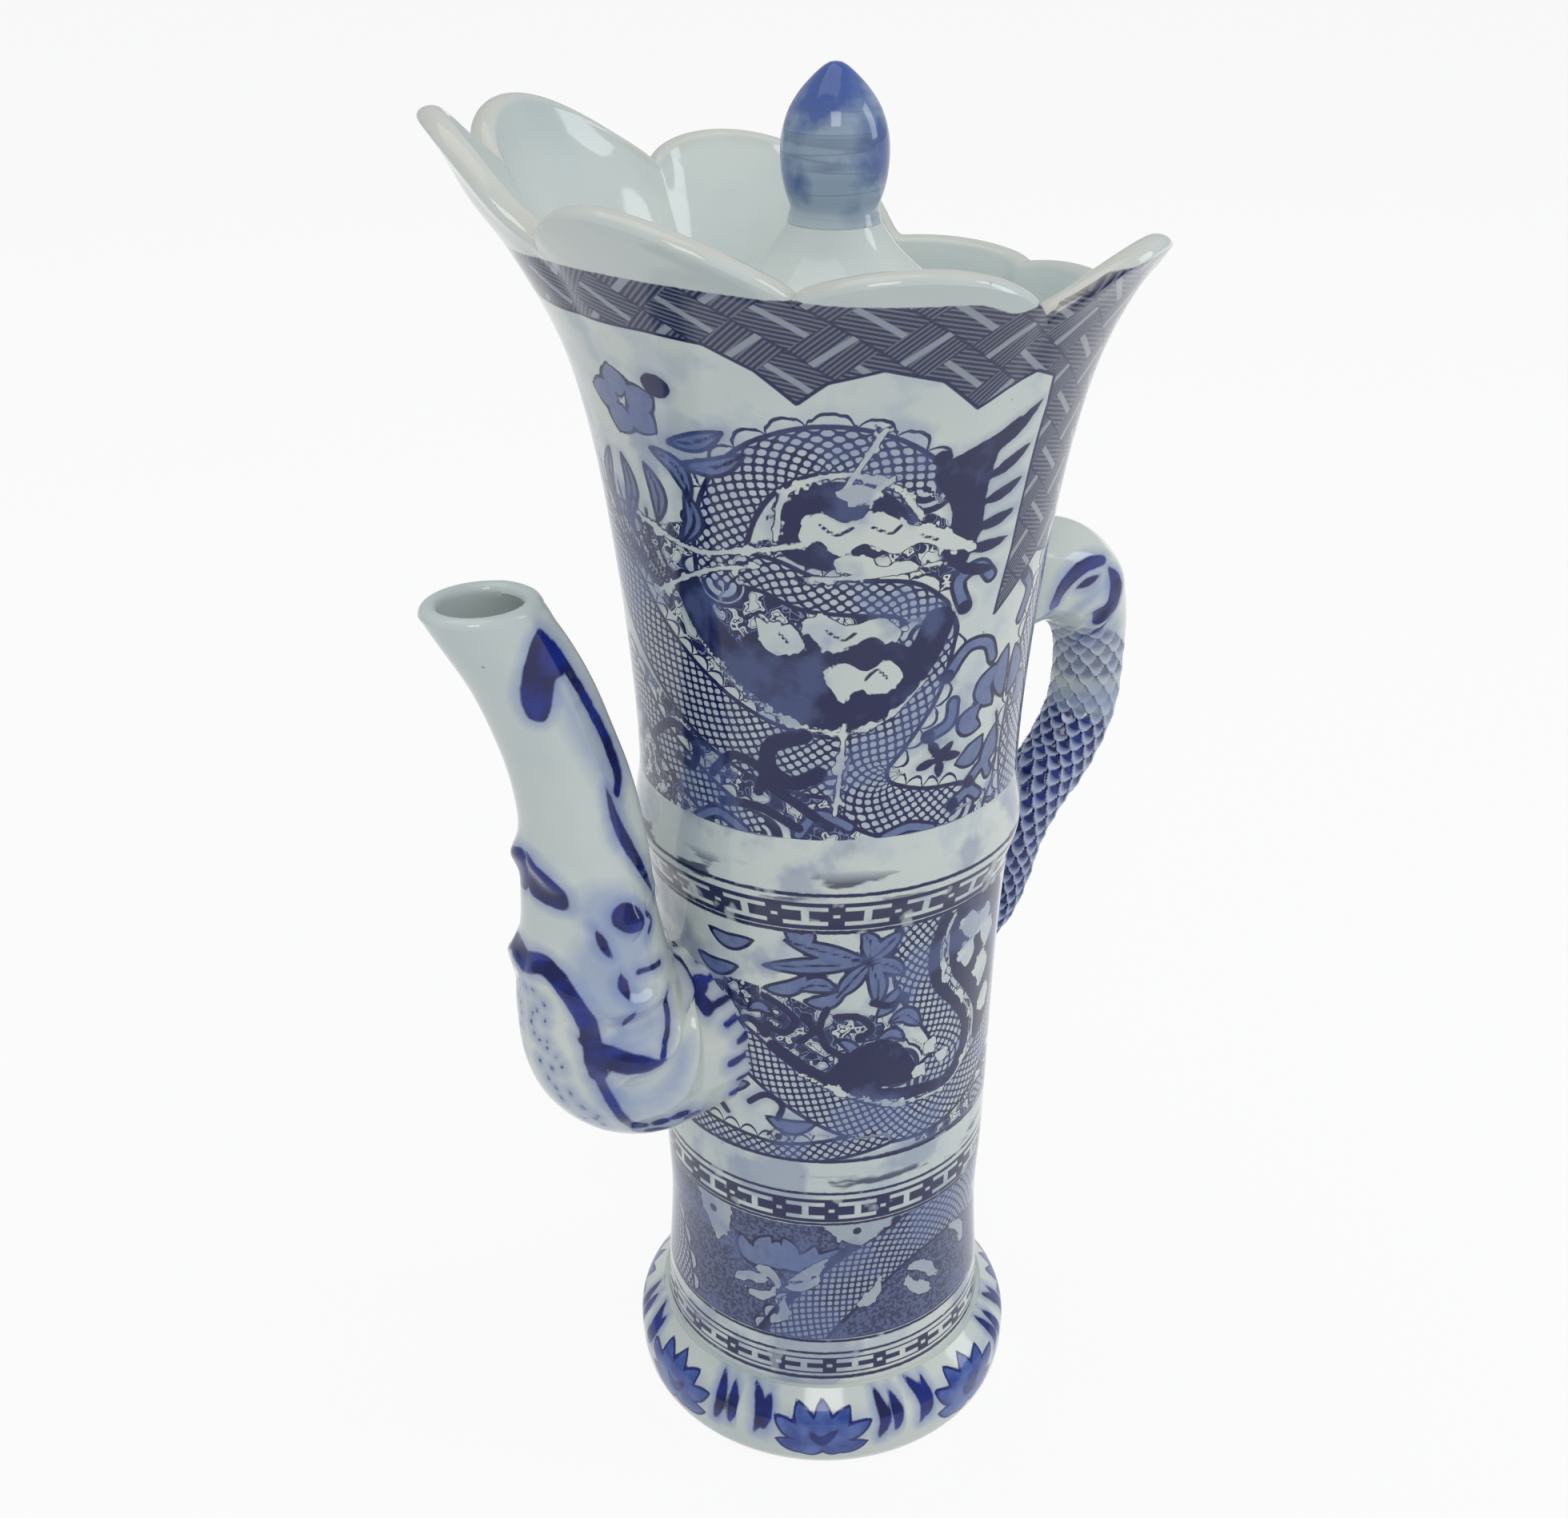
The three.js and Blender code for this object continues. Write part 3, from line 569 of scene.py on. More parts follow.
    # the far part of the sheet, behind the pot's side
    s.lines("leaf", 4.0, [[(84, 96), (88, 92), (93, 91)], [(-24, 132), (-17, 136), (-10, 134)],
        [(-26, 144), (-18, 141), (-12, 144)], [(90, 132), (93, 138), (92, 145)]], leaf=True)


def lower_print(s):
    s.limits = (33.4, 68.4)
    s.area("ground", [(-30, 69), (96, 69), (96, 34), (-30, 34)], smooth=False)
    s.coil(14.5, [(26, 30), (33, 41), (42, 50), (52, 57.5), (64, 62), (80, 62), (104, 54)])
    s.coil(14.5, [(-38, 59), (-22, 52), (-12, 42), (-8, 28)])
    s.line("navy", 2.6, [(20, 33), (26, 43), (34, 53), (43, 61), (54, 67)])
    s.area("pale", [(37, 68.5), (40, 64), (45, 61.5), (50, 65), (53, 69)])
    s.dot("navy_over", 1.1, (44, 66))
    s.area("pale", [(1, 69), (3, 62), (7, 55), (11, 60), (12, 69)], smooth=False)
    s.dot("navy_over", 1.2, (6, 64.5))
    s.lines("leaf", 5.6, [[(24, 53), (20.5, 58), (23, 63)], [(24, 53), (27.5, 58), (26, 63.5)],
        [(23, 54), (16.5, 56), (14.5, 61)], [(25, 54), (32, 57), (34, 62)], [(24, 53), (24, 58), (24.5, 62)],
        [(27, 54), (35, 56.5), (40, 61)]], leaf=True)
    s.lines("pale", 2.6, [[(27, 50), (32, 53), (37, 58)], [(26, 48), (31, 49), (35, 52)],
        [(25, 47), (23, 51), (18, 52)], [(24, 46), (20, 44), (16, 45)], [(26, 45), (26, 40), (23, 37)],
        [(22, 49), (17, 49), (13, 47)]], leaf=True)
    s.lines("pale", 3.0, [[(58, 50), (63, 49), (68, 44)], [(58, 48), (60, 44), (66, 40)],
        [(50, 50), (49, 46), (44, 43)], [(72, 56), (78, 52), (80, 46)], [(84, 60), (90, 56), (92, 50)]], leaf=True)
    s.line("navy", 1.0, [(-30, 33.8), (30, 33.6), (96, 33.8)])


PRINT_LAYERS = (
    "navy", "navy_over", "leaf", "pale", "busy", "panel", "ground", "coil", "coil_along", "coil_across"
)


def printed_fields(rows):
    """Distances for the print on the outside of the wall, and how far each point lies above the printed part."""
    x, y, z = rows.transpose(2, 0, 1)
    radius, angle = np.hypot(x, y), np.arctan2(y, x)
    round_the_pot = (angle * PRINT_RADIUS - SHEET_START) % SHEET + SHEET_START
    s = Sketch(round_the_pot, z)
    for draw in (upper_print, middle_print, lower_print):
        draw(s)
    top_edge = PRINT_TOP + 1.6 * np.sin(3 * angle + 1.0) - 3.0 * np.exp(-(((angle - 1.42) / 0.09) ** 2))
    bare = np.where(radius > body_radius(z) - 0.55 * WALL, z - top_edge, Sketch.FAR)
    return {**s.fields(*PRINT_LAYERS), "bare": bare}


# %% [markdown]
# ## The printed glaze
# The layers are laid as a printer would: ground, lattice of the scaly body with its scalloped fringe, leaves in mid
# blue with a dark outline, solid dark shapes, and what is left white over them. Cobalt bleeds a little under the glaze,
# so every edge wanders slightly and the tone drifts from navy to a greyer blue.

# %% Printed glaze


def fold(net, value, pitch):
    """The distance from the middle of the cell that value falls in, for cells one pitch long."""
    cell = value * (1 / pitch)
    return abs(cell.sum("FRACT") - 0.5) * pitch


def fret(net, along, height, low, high):
    """1 on the dark of a fret: a band with pale bars, each two feet and a stem."""
    middle = (low + high) / 2
    half = (high - low) / 2
    up = abs(height - middle)
    in_band = net.below(up, half, 0.2)
    across = fold(net, along, 12.57)
    foot = net.below(across, 4.6, 0.25) * net.below(abs(up - half * 0.55), 0.55, 0.25)
    stem = net.below(across, 0.8, 0.25) * net.below(up, half * 0.55, 0.25)
    between_feet = net.below(abs(across - 6.3), 0.7, 0.25) * net.below(up, 0.45, 0.2)
    return in_band * (1 - foot.sum("MAXIMUM", stem).sum("MAXIMUM", between_feet))


def hatching(net, along, height):
    """Dark basket work: slanting cells, each hatched one way or the other, with pale bars along their edges."""
    slant, counter = (along + height) * (1 / 11), (along - height * 0.9) * (1 / 11)
    check = ((slant.sum("FLOOR") + counter.sum("FLOOR")) * 0.5).sum("FRACT") * 2
    line_a, line_b = fold(net, along * 0.35 + height, 0.95), fold(net, height * 0.75 - along, 0.95)
    lines = net.below(line_a * check + line_b * (1 - check), 0.2, 0.16)
    bar = net.below(fold(net, along + height, 11), 0.72, 0.3) * check
    bar = bar.sum("MAXIMUM", net.below(fold(net, along - height * 0.9, 11), 0.72, 0.3) * (1 - check))
    edge = net.below(fold(net, along + height + 5.5, 11), 0.35, 0.2)
    return lines, bar, edge


def printed_glaze():
    net = Net("printed_glaze")
    place = pot_place(net)
    split = [net.node("ShaderNodeSeparateXYZ", {}, {"Vector": place}, out=i) for i in range(3)]
    along, height = split[1].sum("ARCTAN2", split[0]) * PRINT_RADIUS, split[2]
    wander = (net.noise(place, 0.6, 2.0) - 0.5) * 0.5
    drift = net.noise(place, 0.035, 3.0)
    dark = net.colour(net.below(drift, 0.52, 0.2), NAVY_GREY, NAVY)
    paper = glaze_colour(net, place)
    wash = net.below(net.noise(place, 0.09, 3.0), 0.42, 0.12) * 0.3
    white = net.colour(wash, paper, WASH)

    # the ground outside the panels
    lines, bar, edge = hatching(net, along, height)
    basket = net.colour(lines, srgb(38, 42, 70), srgb(104, 112, 138))
    basket = net.colour(edge * 0.8, basket, dark)
    basket = net.colour(bar, basket, srgb(150, 156, 168))
    field = net.field("panel")
    outside = net.below(0 - field - wander * 0.4, 0.0, 0.2)
    upper = net.below(PANEL_FOOT - height, 0.0, 0.2)
    look = net.colour(outside * upper, white, basket)
    rule = net.below(abs(field), 0.32, 0.2) * upper
    # the lowest storey's ground is a dense blue
    low_ground = net.below(net.field("ground"), 0.0, 0.2)
    speckle = net.noise(place, 1.1, 2.0)
    low_tone = net.colour(net.below(speckle, 0.5, 0.1), srgb(46, 54, 92), srgb(86, 98, 138))
    look = net.colour(low_ground, look, low_tone)
    white = net.colour(low_ground * 0.4, white, MID_BLUE)

    # close-set clouds: pale blots with dark outlines on a dark ground
    cloud = net.noise(place, 0.34, 1.5) + wander * 0.03
    filler = net.colour(net.below(0 - cloud, -0.53, 0.012), dark, white)
    filler = net.colour(net.below(abs(cloud - 0.6), 0.012, 0.01), filler, dark)
    filler = net.colour(net.below(abs(cloud - 0.44), 0.014, 0.01), filler, srgb(120, 134, 170))
    look = net.colour(net.below(net.field("busy") + wander * 2, 0.0, 0.3), look, filler)

    # the scaly body: lattice, outline and fringe
    edge_of = net.field("coil") + wander * 0.4
    run, cross = net.field("coil_along"), net.field("coil_across")
    scale_a, scale_b = fold(net, run + cross * 1.1, 2.5), fold(net, run - cross * 1.1, 2.5)
    lattice = net.below(scale_a.sum("MINIMUM", scale_b), 0.36, 0.22)
    knot = net.below(scale_a + scale_b, 1.15, 0.3)
    inside = net.below(edge_of, 0.0, 0.2)
    scale_tone = net.colour(net.noise(place, 0.12, 3.0) * 0.7, white, srgb(128, 146, 190))
    body = net.colour(lattice.sum("MAXIMUM", knot), scale_tone, dark)
    scallop = 2.6 * ((run * (np.pi / 4.6)).sum("SINE").sum("ABSOLUTE")).sum("POWER", 0.6)
    fringe = net.below(edge_of - scallop, 0.0, 0.2) * net.below(0 - cross, 0.0, 0.1)
    hem = net.below(abs(edge_of - scallop), 0.36, 0.18) * net.below(0 - cross, 0.0, 0.1)
    look = net.colour(fringe, look, white)
    look = net.colour(hem, look, dark)
    look = net.colour(inside, look, body)
    look = net.colour(net.below(abs(edge_of), 0.5, 0.2), look, dark)

    # leaves, solids, and what is left white
    leaf = net.field("leaf") + wander * 0.4
    leaf_tone = net.colour(net.noise(place, 0.5, 2.0), MID_BLUE, srgb(122, 136, 172))
    look = net.colour(net.below(leaf, 0.0, 0.2), look, leaf_tone)
    look = net.colour(net.below(abs(leaf), 0.42, 0.2), look, dark)
    solid = net.field("navy") + wander
    bleed = net.below(solid, 0.9, 1.8) * 0.3
    look = net.colour(bleed, look, MID_BLUE)
    look = net.colour(net.below(solid, 0.0, 0.22), look, dark)
    lobes = (net.noise(place, 0.3, 2.0) - 0.5) * 5
    pale = net.field("pale") + wander * 0.7 + lobes * net.below(0 - net.field("pale"), -0.1, 0.6)
    look = net.colour(net.below(pale, 0.34, 0.2), look, dark)
    look = net.colour(net.below(pale, 0.0, 0.2), look, white)
    look = net.colour(net.below(net.field("navy_over"), 0.0, 0.2), look, dark)
    look = net.colour(rule, look, dark)
    # the print has run into the glaze here and there
    run_ink = net.below(net.noise(place, 0.055, 4.0), 0.44, 0.08) * net.below(height, 262, 12)
    look = net.colour(run_ink * 0.42, look, srgb(96, 114, 166))

    # frets and ruled lines round the joints
    bands = fret(net, along, height, *FRETS[0])
    for low, high in FRETS[1:]:
        bands = bands.sum("MAXIMUM", fret(net, along, height, low, high))
    for line, width in RULED_LINES:
        bands = bands.sum("MAXIMUM", net.below(abs(height - line - wander * 0.8), width, 0.25))
    gaps = net.below(net.noise(place, 0.16, 2.0), 0.36, 0.06)
    look = net.colour(bands * (1 - gaps * 0.55), look, dark)
    # a brushed smear beside each joint, where the sheet's edge was touched up
    smear = net.noise(net.node("ShaderNodeMapping", {}, {"Vector": place, "Scale": (1.0, 1.0, 3.5)}), 0.07, 3.0)
    near_joint = net.below(abs(height - 160.5), 3.4, 3.0).sum("MAXIMUM", net.below(abs(height - 80.5), 1.6, 2.0))
    look = net.colour(near_joint * net.below(0 - smear, -0.6, 0.06) * 0.85, look, dark)

    # no print at the lip and inside
    look = net.colour(net.below(0 - net.field("bare") - wander, 0.0, 0.3), look, paper)
    # painted reflection: a warm tint along the lip edge stands in for warm surroundings reflected there
    lip_reflection = net.below(net.field("lip") + net.noise(place, 0.12, 2.0) * 3, 2.4, 1.6)
    look = net.colour(lip_reflection * 0.5, look, WARM_REFLECTION)
    return finish(net, place, look)


PRINTED_GLAZE = printed_glaze()

# %% [markdown]
# ## Painted glaze
# Spout, foot, handle and knob are brushed by hand. Strokes are the same signed distances, but their edges bleed into a
# pale wash. The handle's scales are modelled, and the cobalt lies dark between them and thin on their edges.

# %% Painted glazes


def painted_glaze(name, scales=False):
    net = Net(name)
    place = pot_place(net)
    wander = (net.noise(place, 0.35, 3.0) - 0.5) * 1.2
    paper = glaze_colour(net, place)
    look = net.colour(net.below(net.field("wash") + wander * 1.5, 0.0, 5.0) * 0.75, paper, WASH)
    look = net.colour(net.below(net.field("stroke") + wander, 1.3, 3.0) * 0.55, look, srgb(92, 116, 186))
    depth = net.noise(place, 0.18, 2.0)
    petal = net.field("petal") + wander * 0.4
    petal_tone = net.colour(net.below(depth, 0.5, 0.3), srgb(86, 112, 178), srgb(44, 70, 150))
    look = net.colour(net.below(petal, 0.0, 0.4), look, petal_tone)
    look = net.colour(net.below(abs(petal), 0.35, 0.35), look, srgb(18, 32, 110))
    ink = net.colour(net.below(depth, 0.52, 0.25), COBALT, srgb(18, 24, 84))
    look = net.colour(net.below(net.field("stroke") + wander * 0.6, 0.0, 0.5), look, ink)
    if scales:
        cobalt = net.colour(net.below(depth, 0.55, 0.3), srgb(36, 54, 140), srgb(20, 30, 96))
        relief = net.field("relief")
        scale_look = net.colour(net.below(0 - relief, -0.72, 0.3), cobalt, srgb(176, 188, 214))
        look = net.colour(net.field("scaled"), look, scale_look)
    return finish(net, place, look)


FOOT_GLAZE = painted_glaze("foot_glaze")
SPOUT_GLAZE = painted_glaze("painted_glaze")
HANDLE_GLAZE = painted_glaze("cobalt_glaze", scales=True)


def knob_glaze(low, high):
    """A thin blue wash brushed round the knob: deep at the tip, thin where it pools at the foot."""
    net = Net("wash_glaze")
    place = pot_place(net)
    rings = net.node("ShaderNodeMapping", {}, {"Vector": place, "Scale": (0.02, 0.02, 1.0)})
    height = net.node("ShaderNodeSeparateXYZ", {}, {"Vector": place}, out=2)
    blue = net.colour(net.noise(rings, 0.5, 5.0), srgb(104, 126, 162), srgb(150, 168, 192))
    patches = net.noise(place, 0.07, 4.0)
    blue = net.colour(net.below(patches, 0.47, 0.1) * 0.7, blue, srgb(44, 74, 156))
    blue = net.colour(net.below(0 - patches, -0.56, 0.08) * 0.5, blue, srgb(178, 194, 208))
    blue = net.colour(net.below(high - height, 5.0, 7.0) * 0.6, blue, srgb(46, 78, 160))
    dark_ring = net.below(abs(net.noise(rings, 0.2, 1.0) - 0.5), 0.006, 0.01)
    blue = net.colour(dark_ring * 0.35, blue, srgb(74, 90, 126))
    blue = net.colour(net.below(height - (low + 1.6), 0.0, 5.0) * 0.75, blue, GLAZE_COOL)
    return finish(net, place, blue)


WASH_GLAZE = knob_glaze(*level("finial"))
print("glazes:", [m.name for m in bpy.data.materials if m.name.endswith("glaze")])

# %% [markdown]
# ## Sprays on the foot
# A ring of brushed flower sprays hangs round the foot, seven to the turn, over a plain lower edge.

# %% Foot sprays


def foot_fields(rows):
    x, y, z = rows.transpose(2, 0, 1)
    s = Sketch((np.arctan2(y, x) * 46 + 20.6) % 41.3 - 20.6, z)
    s.lines("petal", 4.6, [[(0, 10), (-6, 11), (-11.5, 15)], [(0, 10), (6, 11), (12, 14)],
        [(0, 9.5), (-5.5, 7), (-11, 8.5)], [(0, 9.5), (5.5, 7), (11, 8)], [(0, 10), (0.3, 14), (0, 18.5)],
        [(0, 10), (-4, 14), (-6.5, 18)], [(0, 10), (4.5, 14), (7, 17)], [(0, 9), (-2, 6.5), (-5, 4.6)],
        [(0, 9), (2.5, 6.5), (5, 5)]], leaf=True)
    s.lines("stroke", 3.0, [[(-18.5, 20), (-15, 15), (-16.5, 8.5)], [(-13.5, 19), (-13.8, 14), (-14.5, 10)],
        [(13.5, 20), (15.5, 14), (13.8, 8)], [(17.5, 19), (19, 14), (18.2, 9)],
        [(-3, 12), (0, 9), (4, 12.5)]], leaf=True)
    s.line("wash", 7, [(-8, 12), (0, 11), (8, 12)])
    s.line("wash", 3, [(-14, 15), (-13, 9)])
    s.line("wash", 3, [(15, 15), (15, 9)])
    inside = np.hypot(x, y) < 38.8
    fields = s.fields("stroke", "wash", "petal")
    return {name: np.where(inside, Sketch.FAR, values) for name, values in fields.items()}


# %% [markdown]
# ## The storeys
# Each storey is a ring. Its outside is worked out closely, so that the print on it stays sharp, its inside coarsely.
# A joint ring is part of the storey below or above it, because the slip between them is glazed over.

# %% Walls


def wall_profile(bottom, top, cell=0.75, inner_cell=4.0):
    """Up the outside and back down the inside of the wall between two heights."""
    up = np.linspace(bottom, top, int((top - bottom) / cell) + 1)
    down = np.linspace(top, bottom, int((top - bottom) / inner_cell) + 2)
    return [(body_radius(z), z) for z in up] + [(body_radius(z) - WALL, z) for z in down]


def storey(name, replaces, bottom, top, around):
    rows = turned(wall_profile(bottom, top), around)
    fields = {**printed_fields(rows), "lip": np.full(rows.shape[:2], Sketch.FAR)}
    skin(name, rows, "pot", replaces, PRINTED_GLAZE, fields=fields)


foot_spline = spline(
    [(44.5, 0), (46.2, 0.15 * FOOT_TOP), (46.9, 0.42 * FOOT_TOP), (46.2, 0.7 * FOOT_TOP), (41, FOOT_TOP)], 10
)
foot_rows = turned([(37.5, 0), (41, 0.0), *foot_spline[1:], (38.6, FOOT_TOP), (36, FOOT_TOP), (36, 15.2), (33, 15.2),
                    (33, 10.5)], 360)
skin("pot_foot", foot_rows, "pot", ["foot_ring"], FOOT_GLAZE, fields=foot_fields(foot_rows))

storey("storey_lower", ["lower_wall", "lower_joint_ring"], FOOT_TOP, LOWER_RING[1], 336)
storey("storey_middle", ["middle_wall"], LOWER_RING[1], MIDDLE[1], 336)
storey("storey_upper", ["upper_joint_ring", "upper_wall"], MIDDLE[1], UPPER[1], 400)

# %% [markdown]
# ## The petal mouth
# The collar starts as a flared ring. Its edge is then drawn up in seven petals, down over the handle, and the whole
# edge leans and sags as it did in the kiln. A fold runs down below each notch.

# %% Petal mouth


def smoothstep(value, low, high):
    t = np.clip((value - low) / (high - low), 0, 1)
    return t * t * (3 - 2 * t)


PETAL_PITCH = np.radians(45)
TILT_AT = np.radians(-30)


def edge_height(angle):
    """Petal arches, the lean and the sag of the edge, and the low stretch opposite the spout."""
    from_spout = np.abs(np.arctan2(np.sin(angle), np.cos(angle)))
    arch = np.abs(np.sin(np.pi * angle / PETAL_PITCH)) ** 0.8
    sag = 4.5 * np.cos(2 * (angle - TILT_AT)) * (0.4 + 0.6 * arch)
    petals = 11 * arch + 9.8 * np.cos(angle - TILT_AT) + sag
    petals = petals - 3.5 * np.exp(-((from_spout / np.radians(11)) ** 2))
    petals = petals - 1.8 * np.exp(-(((angle - np.radians(22)) / np.radians(16)) ** 2))
    back = smoothstep(from_spout, np.radians(135), np.radians(145))
    return NOTCH_LEVEL + mix(petals, 2 * arch - 14, back)


def petal_rows(around=480):
    """The flared ring, each column stretched to meet the edge, with a fold drawn in below each notch."""
    up = [(body_radius(z), z) for z in np.linspace(COLLAR_BASE - 0.3, NOTCH_LEVEL, 52)[:-1]]
    turn = np.linspace(0, np.pi, 11)
    lip = np.stack([NOTCH_RADIUS - WALL / 2 * (1 - np.cos(turn)), NOTCH_LEVEL + WALL / 2 * np.sin(turn)], -1)
    down = [(body_radius(z) - WALL, z) for z in np.linspace(NOTCH_LEVEL, COLLAR_BASE - 0.3, 24)[1:]]
    radius, height = np.array([*up, *lip, *down], float).T
    angle = np.linspace(0, 2 * np.pi, around, endpoint=False)
    share = np.clip((height - COLLAR_BASE) / COLLAR_HEIGHT, 0, 1)
    nominal = np.where(share > 0, COLLAR_BASE + share * COLLAR_HEIGHT, height)
    inward = (radius - body_radius(nominal))[:, None]
    above = (height - nominal)[:, None]
    share = share[:, None]
    lifted = nominal[:, None] * (share == 0) + (share > 0) * (
        COLLAR_BASE + share * (edge_height(angle) - COLLAR_BASE)
    )
    from_notch = np.abs(angle - np.round(angle / PETAL_PITCH) * PETAL_PITCH)
    crease = 1.3 * np.exp(-((from_notch / np.radians(4)) ** 2)) * share**2
    bead = 1.9 * np.exp(-(((edge_height(angle) - lifted) / 4.2) ** 2)) * (share > 0)
    out = body_radius(lifted) + inward * (1 + bead * 0.25) - crease + bead * 0.5
    return np.stack([out * np.cos(angle), out * np.sin(angle), lifted + above], -1)


petal_grid = petal_rows()
from_lip = edge_height(np.arctan2(petal_grid[..., 1], petal_grid[..., 0])) + 1.9 - petal_grid[..., 2]
skin(
    "petal_mouth", petal_grid, "pot", ["petal_collar"], PRINTED_GLAZE,
    fields={**printed_fields(petal_grid), "lip": from_lip},
)

# %% [markdown]
# ## Lid, knob and seat
# The lid is a thin dome with a flange that drops inside the seat. Its knob is a bud with a drawn-out tip.

# %% Lid

LID_CLEARANCE, FLANGE_CLEARANCE = 3, 0.8
LEDGE = 9  # how far the seat reaches in from the wall
bore = body_radius(SEAT_TOP) - WALL
lid_base, lid_top = level("lid_dome")
lid_edge = bore - LID_CLEARANCE
flange_low = level("lid_flange")[0]
flange_out = bore - LEDGE - FLANGE_CLEARANCE
rise = lid_top - lid_base
dome = spline(
    [(lid_edge, lid_base + 2.1), (0.86 * lid_edge, lid_base + 5.1), (0.5 * lid_edge, lid_base + 0.46 * rise),
     (0.3 * lid_edge, lid_base + 0.74 * rise), (9.2, lid_top)], 8
)
under = spline(
    [(5.7, lid_top - 3.5), (0.3 * lid_edge - 3, lid_base + 0.6 * rise), (0.5 * lid_edge, lid_base + 0.46 * rise - 3.4),
     (flange_out - 3.2, lid_base)], 5
)
lid_profile = [
    *dome, (5.7, lid_top), *under, (flange_out - 3.2, flange_low), (flange_out - 1, flange_low),
    (flange_out, flange_low + 1), (flange_out, lid_base), (lid_edge - 0.8, lid_base), (lid_edge - 0.1, lid_base + 0.6),
]
skin("lid", turned(lid_profile, 180), "lid", ["lid_dome", "lid_flange"], CLEAR_GLAZE)

knob_base, knob_tip = level("finial")
knob_rise = knob_tip - knob_base
KNOB_OUTLINE = [
    (9.4, 0), (9.0, 0.05), (8.8, 0.1), (9.8, 0.2), (10.5, 0.32), (10.7, 0.45), (10.3, 0.58), (9.0, 0.71), (6.9, 0.82),
    (4.6, 0.905), (2.6, 0.965), (1.2, 0.993),
]
knob_profile = spline([(r, knob_base - 0.3 + share * (knob_rise + 0.3)) for r, share in KNOB_OUTLINE], 5)
skin(
    "finial", turned(knob_profile, 120), "lid", ["finial"], WASH_GLAZE,
    poles=[(0, 0, knob_base - 0.3), (0, 0, knob_tip)],
)

seat_profile = [
    (bore - LEDGE, SEAT_LOW), (body_radius(SEAT_LOW) - WALL + 0.4, SEAT_LOW), (bore + 0.4, SEAT_TOP),
    (bore - LEDGE, SEAT_TOP),
]
skin("lid_ledge", turned(seat_profile, 180), "pot", ["lid_seat"], CLEAR_GLAZE)
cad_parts["base_disc"].material_slots[0].material = CLEAR_GLAZE

# %% [markdown]
# ## Spout and handle: sections carried along a middle line
# Both lie in the upright plane through the axis. A station gives a place on the middle line and the half depth, in that
# plane, and the half width across it. Relief is a height added to both.

# %% Carrying a section


def centripetal(stations, share):
    """Places, headings and sizes at shares of a smooth line through [x, z, depth, width] stations."""
    p = np.array(stations, float)

    def channel(values, at):
        """One curve through the rows of values, its knots spaced by the square root of their distances."""
        v = np.vstack([2 * values[0] - values[1], values, 2 * values[-1] - values[-2]])
        gaps = np.maximum(np.linalg.norm(np.diff(v, axis=0), axis=1) ** 0.5, 1e-4)
        k = np.minimum(at.astype(int), len(values) - 2)
        t = (at - k)[..., None]
        a, b, c, d = (v[k + i] for i in range(4))
        ab, bc, cd = (gaps[k + i][..., None] for i in range(3))
        leave = ((b - a) / ab - (c - a) / (ab + bc) + (c - b) / bc) * bc
        reach = ((c - b) / bc - (d - b) / (bc + cd) + (d - c) / cd) * bc
        from_b = (2 * t**3 - 3 * t**2 + 1) * b + (t**3 - 2 * t**2 + t) * leave
        return from_b + (3 * t**2 - 2 * t**3) * c + (t**3 - t**2) * reach

    fine = np.linspace(0, len(p) - 1, 600)
    line = channel(p[:, :2], fine)
    length = np.r_[0, np.cumsum(np.linalg.norm(np.diff(line, axis=0), axis=1))]
    at = np.interp(share * length[-1], length, fine)
    place, ahead = channel(p[:, :2], at), channel(p[:, :2], at + 1e-3)
    behind = channel(p[:, :2], np.maximum(at - 1e-3, 0))
    heading = (ahead - behind) / np.linalg.norm(ahead - behind, axis=-1, keepdims=True)
    return place, heading, channel(p[:, 2:], at), length[-1]


def between(root, reach, low, high, shares):
    """Stations given as shares of the way out from the wall and of the way up."""
    return [(mix(root, reach, across), mix(low, high, up), depth, width) for across, up, depth, width in shares]


def carried(stations, share, around_angle, lift):
    """Points of the section at each share of the line and angle round it, lifted outwards by a relief."""
    place, heading, size, _ = centripetal(stations, share)
    depth, width = size[..., 0] + lift, size[..., 1] + lift
    points = np.empty((*share.shape, 3))
    points[..., 0] = place[..., 0] + heading[..., 1] * -np.cos(around_angle) * depth
    points[..., 1] = np.sin(around_angle) * width
    points[..., 2] = place[..., 1] + heading[..., 0] * np.cos(around_angle) * depth
    return points


def first_outside(stations, around_angle, shrink, sunk):
    """For each column, the share of the line at which it comes out of the pot's wall."""
    share = np.linspace(0, 0.25, 120)[:, None] + 0 * around_angle
    p = carried(stations, share, around_angle + 0 * share, -shrink)
    out = np.hypot(p[..., 0], p[..., 1]) > body_radius(p[..., 2]) - sunk
    return share[np.argmax(out, 0), 0]


# %% [markdown]
# ## The spout: a beast's head with a tube in its jaws
# The head is a swelling with folds that sag like jowls, an eye knob and a lobed ear. A mane runs down the back of the
# tube. Places on it are (length along the spout, turn round it in degrees): 0 faces the pot and 90 the side.

# %% Spout

SPOUT_STATIONS = between(
    body_radius(114.0), 85, 114, 228.8,
    [(-0.12, 0, 18.3, 14.9), (0.24, 0, 21.3, 16.5), (0.44, 0.06, 20.4, 16.5), (0.52, 0.17, 18.5, 16.5),
     (0.55, 0.37, 14.6, 13.7), (0.6, 0.58, 11.4, 11.4), (0.7, 0.73, 10.4, 10.4), (0.82, 0.86, 10.4, 10.4),
     (1, 1, 10.7, 10.7), (1.08, 1.06, 10.7, 10.7)],
)
SPOUT_TOP = level("spout_tube")[1]
SPOUT_GIRTH = [(0, 17), (45, 17.5), (62, 15.5), (80, 12.5), (100, 10.8), (150, 10.5)]


def flat(girth, points):
    """Painter's places (length, degrees) as millimetres along and round a limb of that girth."""
    return [(s, np.radians(turn) * np.interp(s, *np.array(girth, float).T)) for s, turn in points]


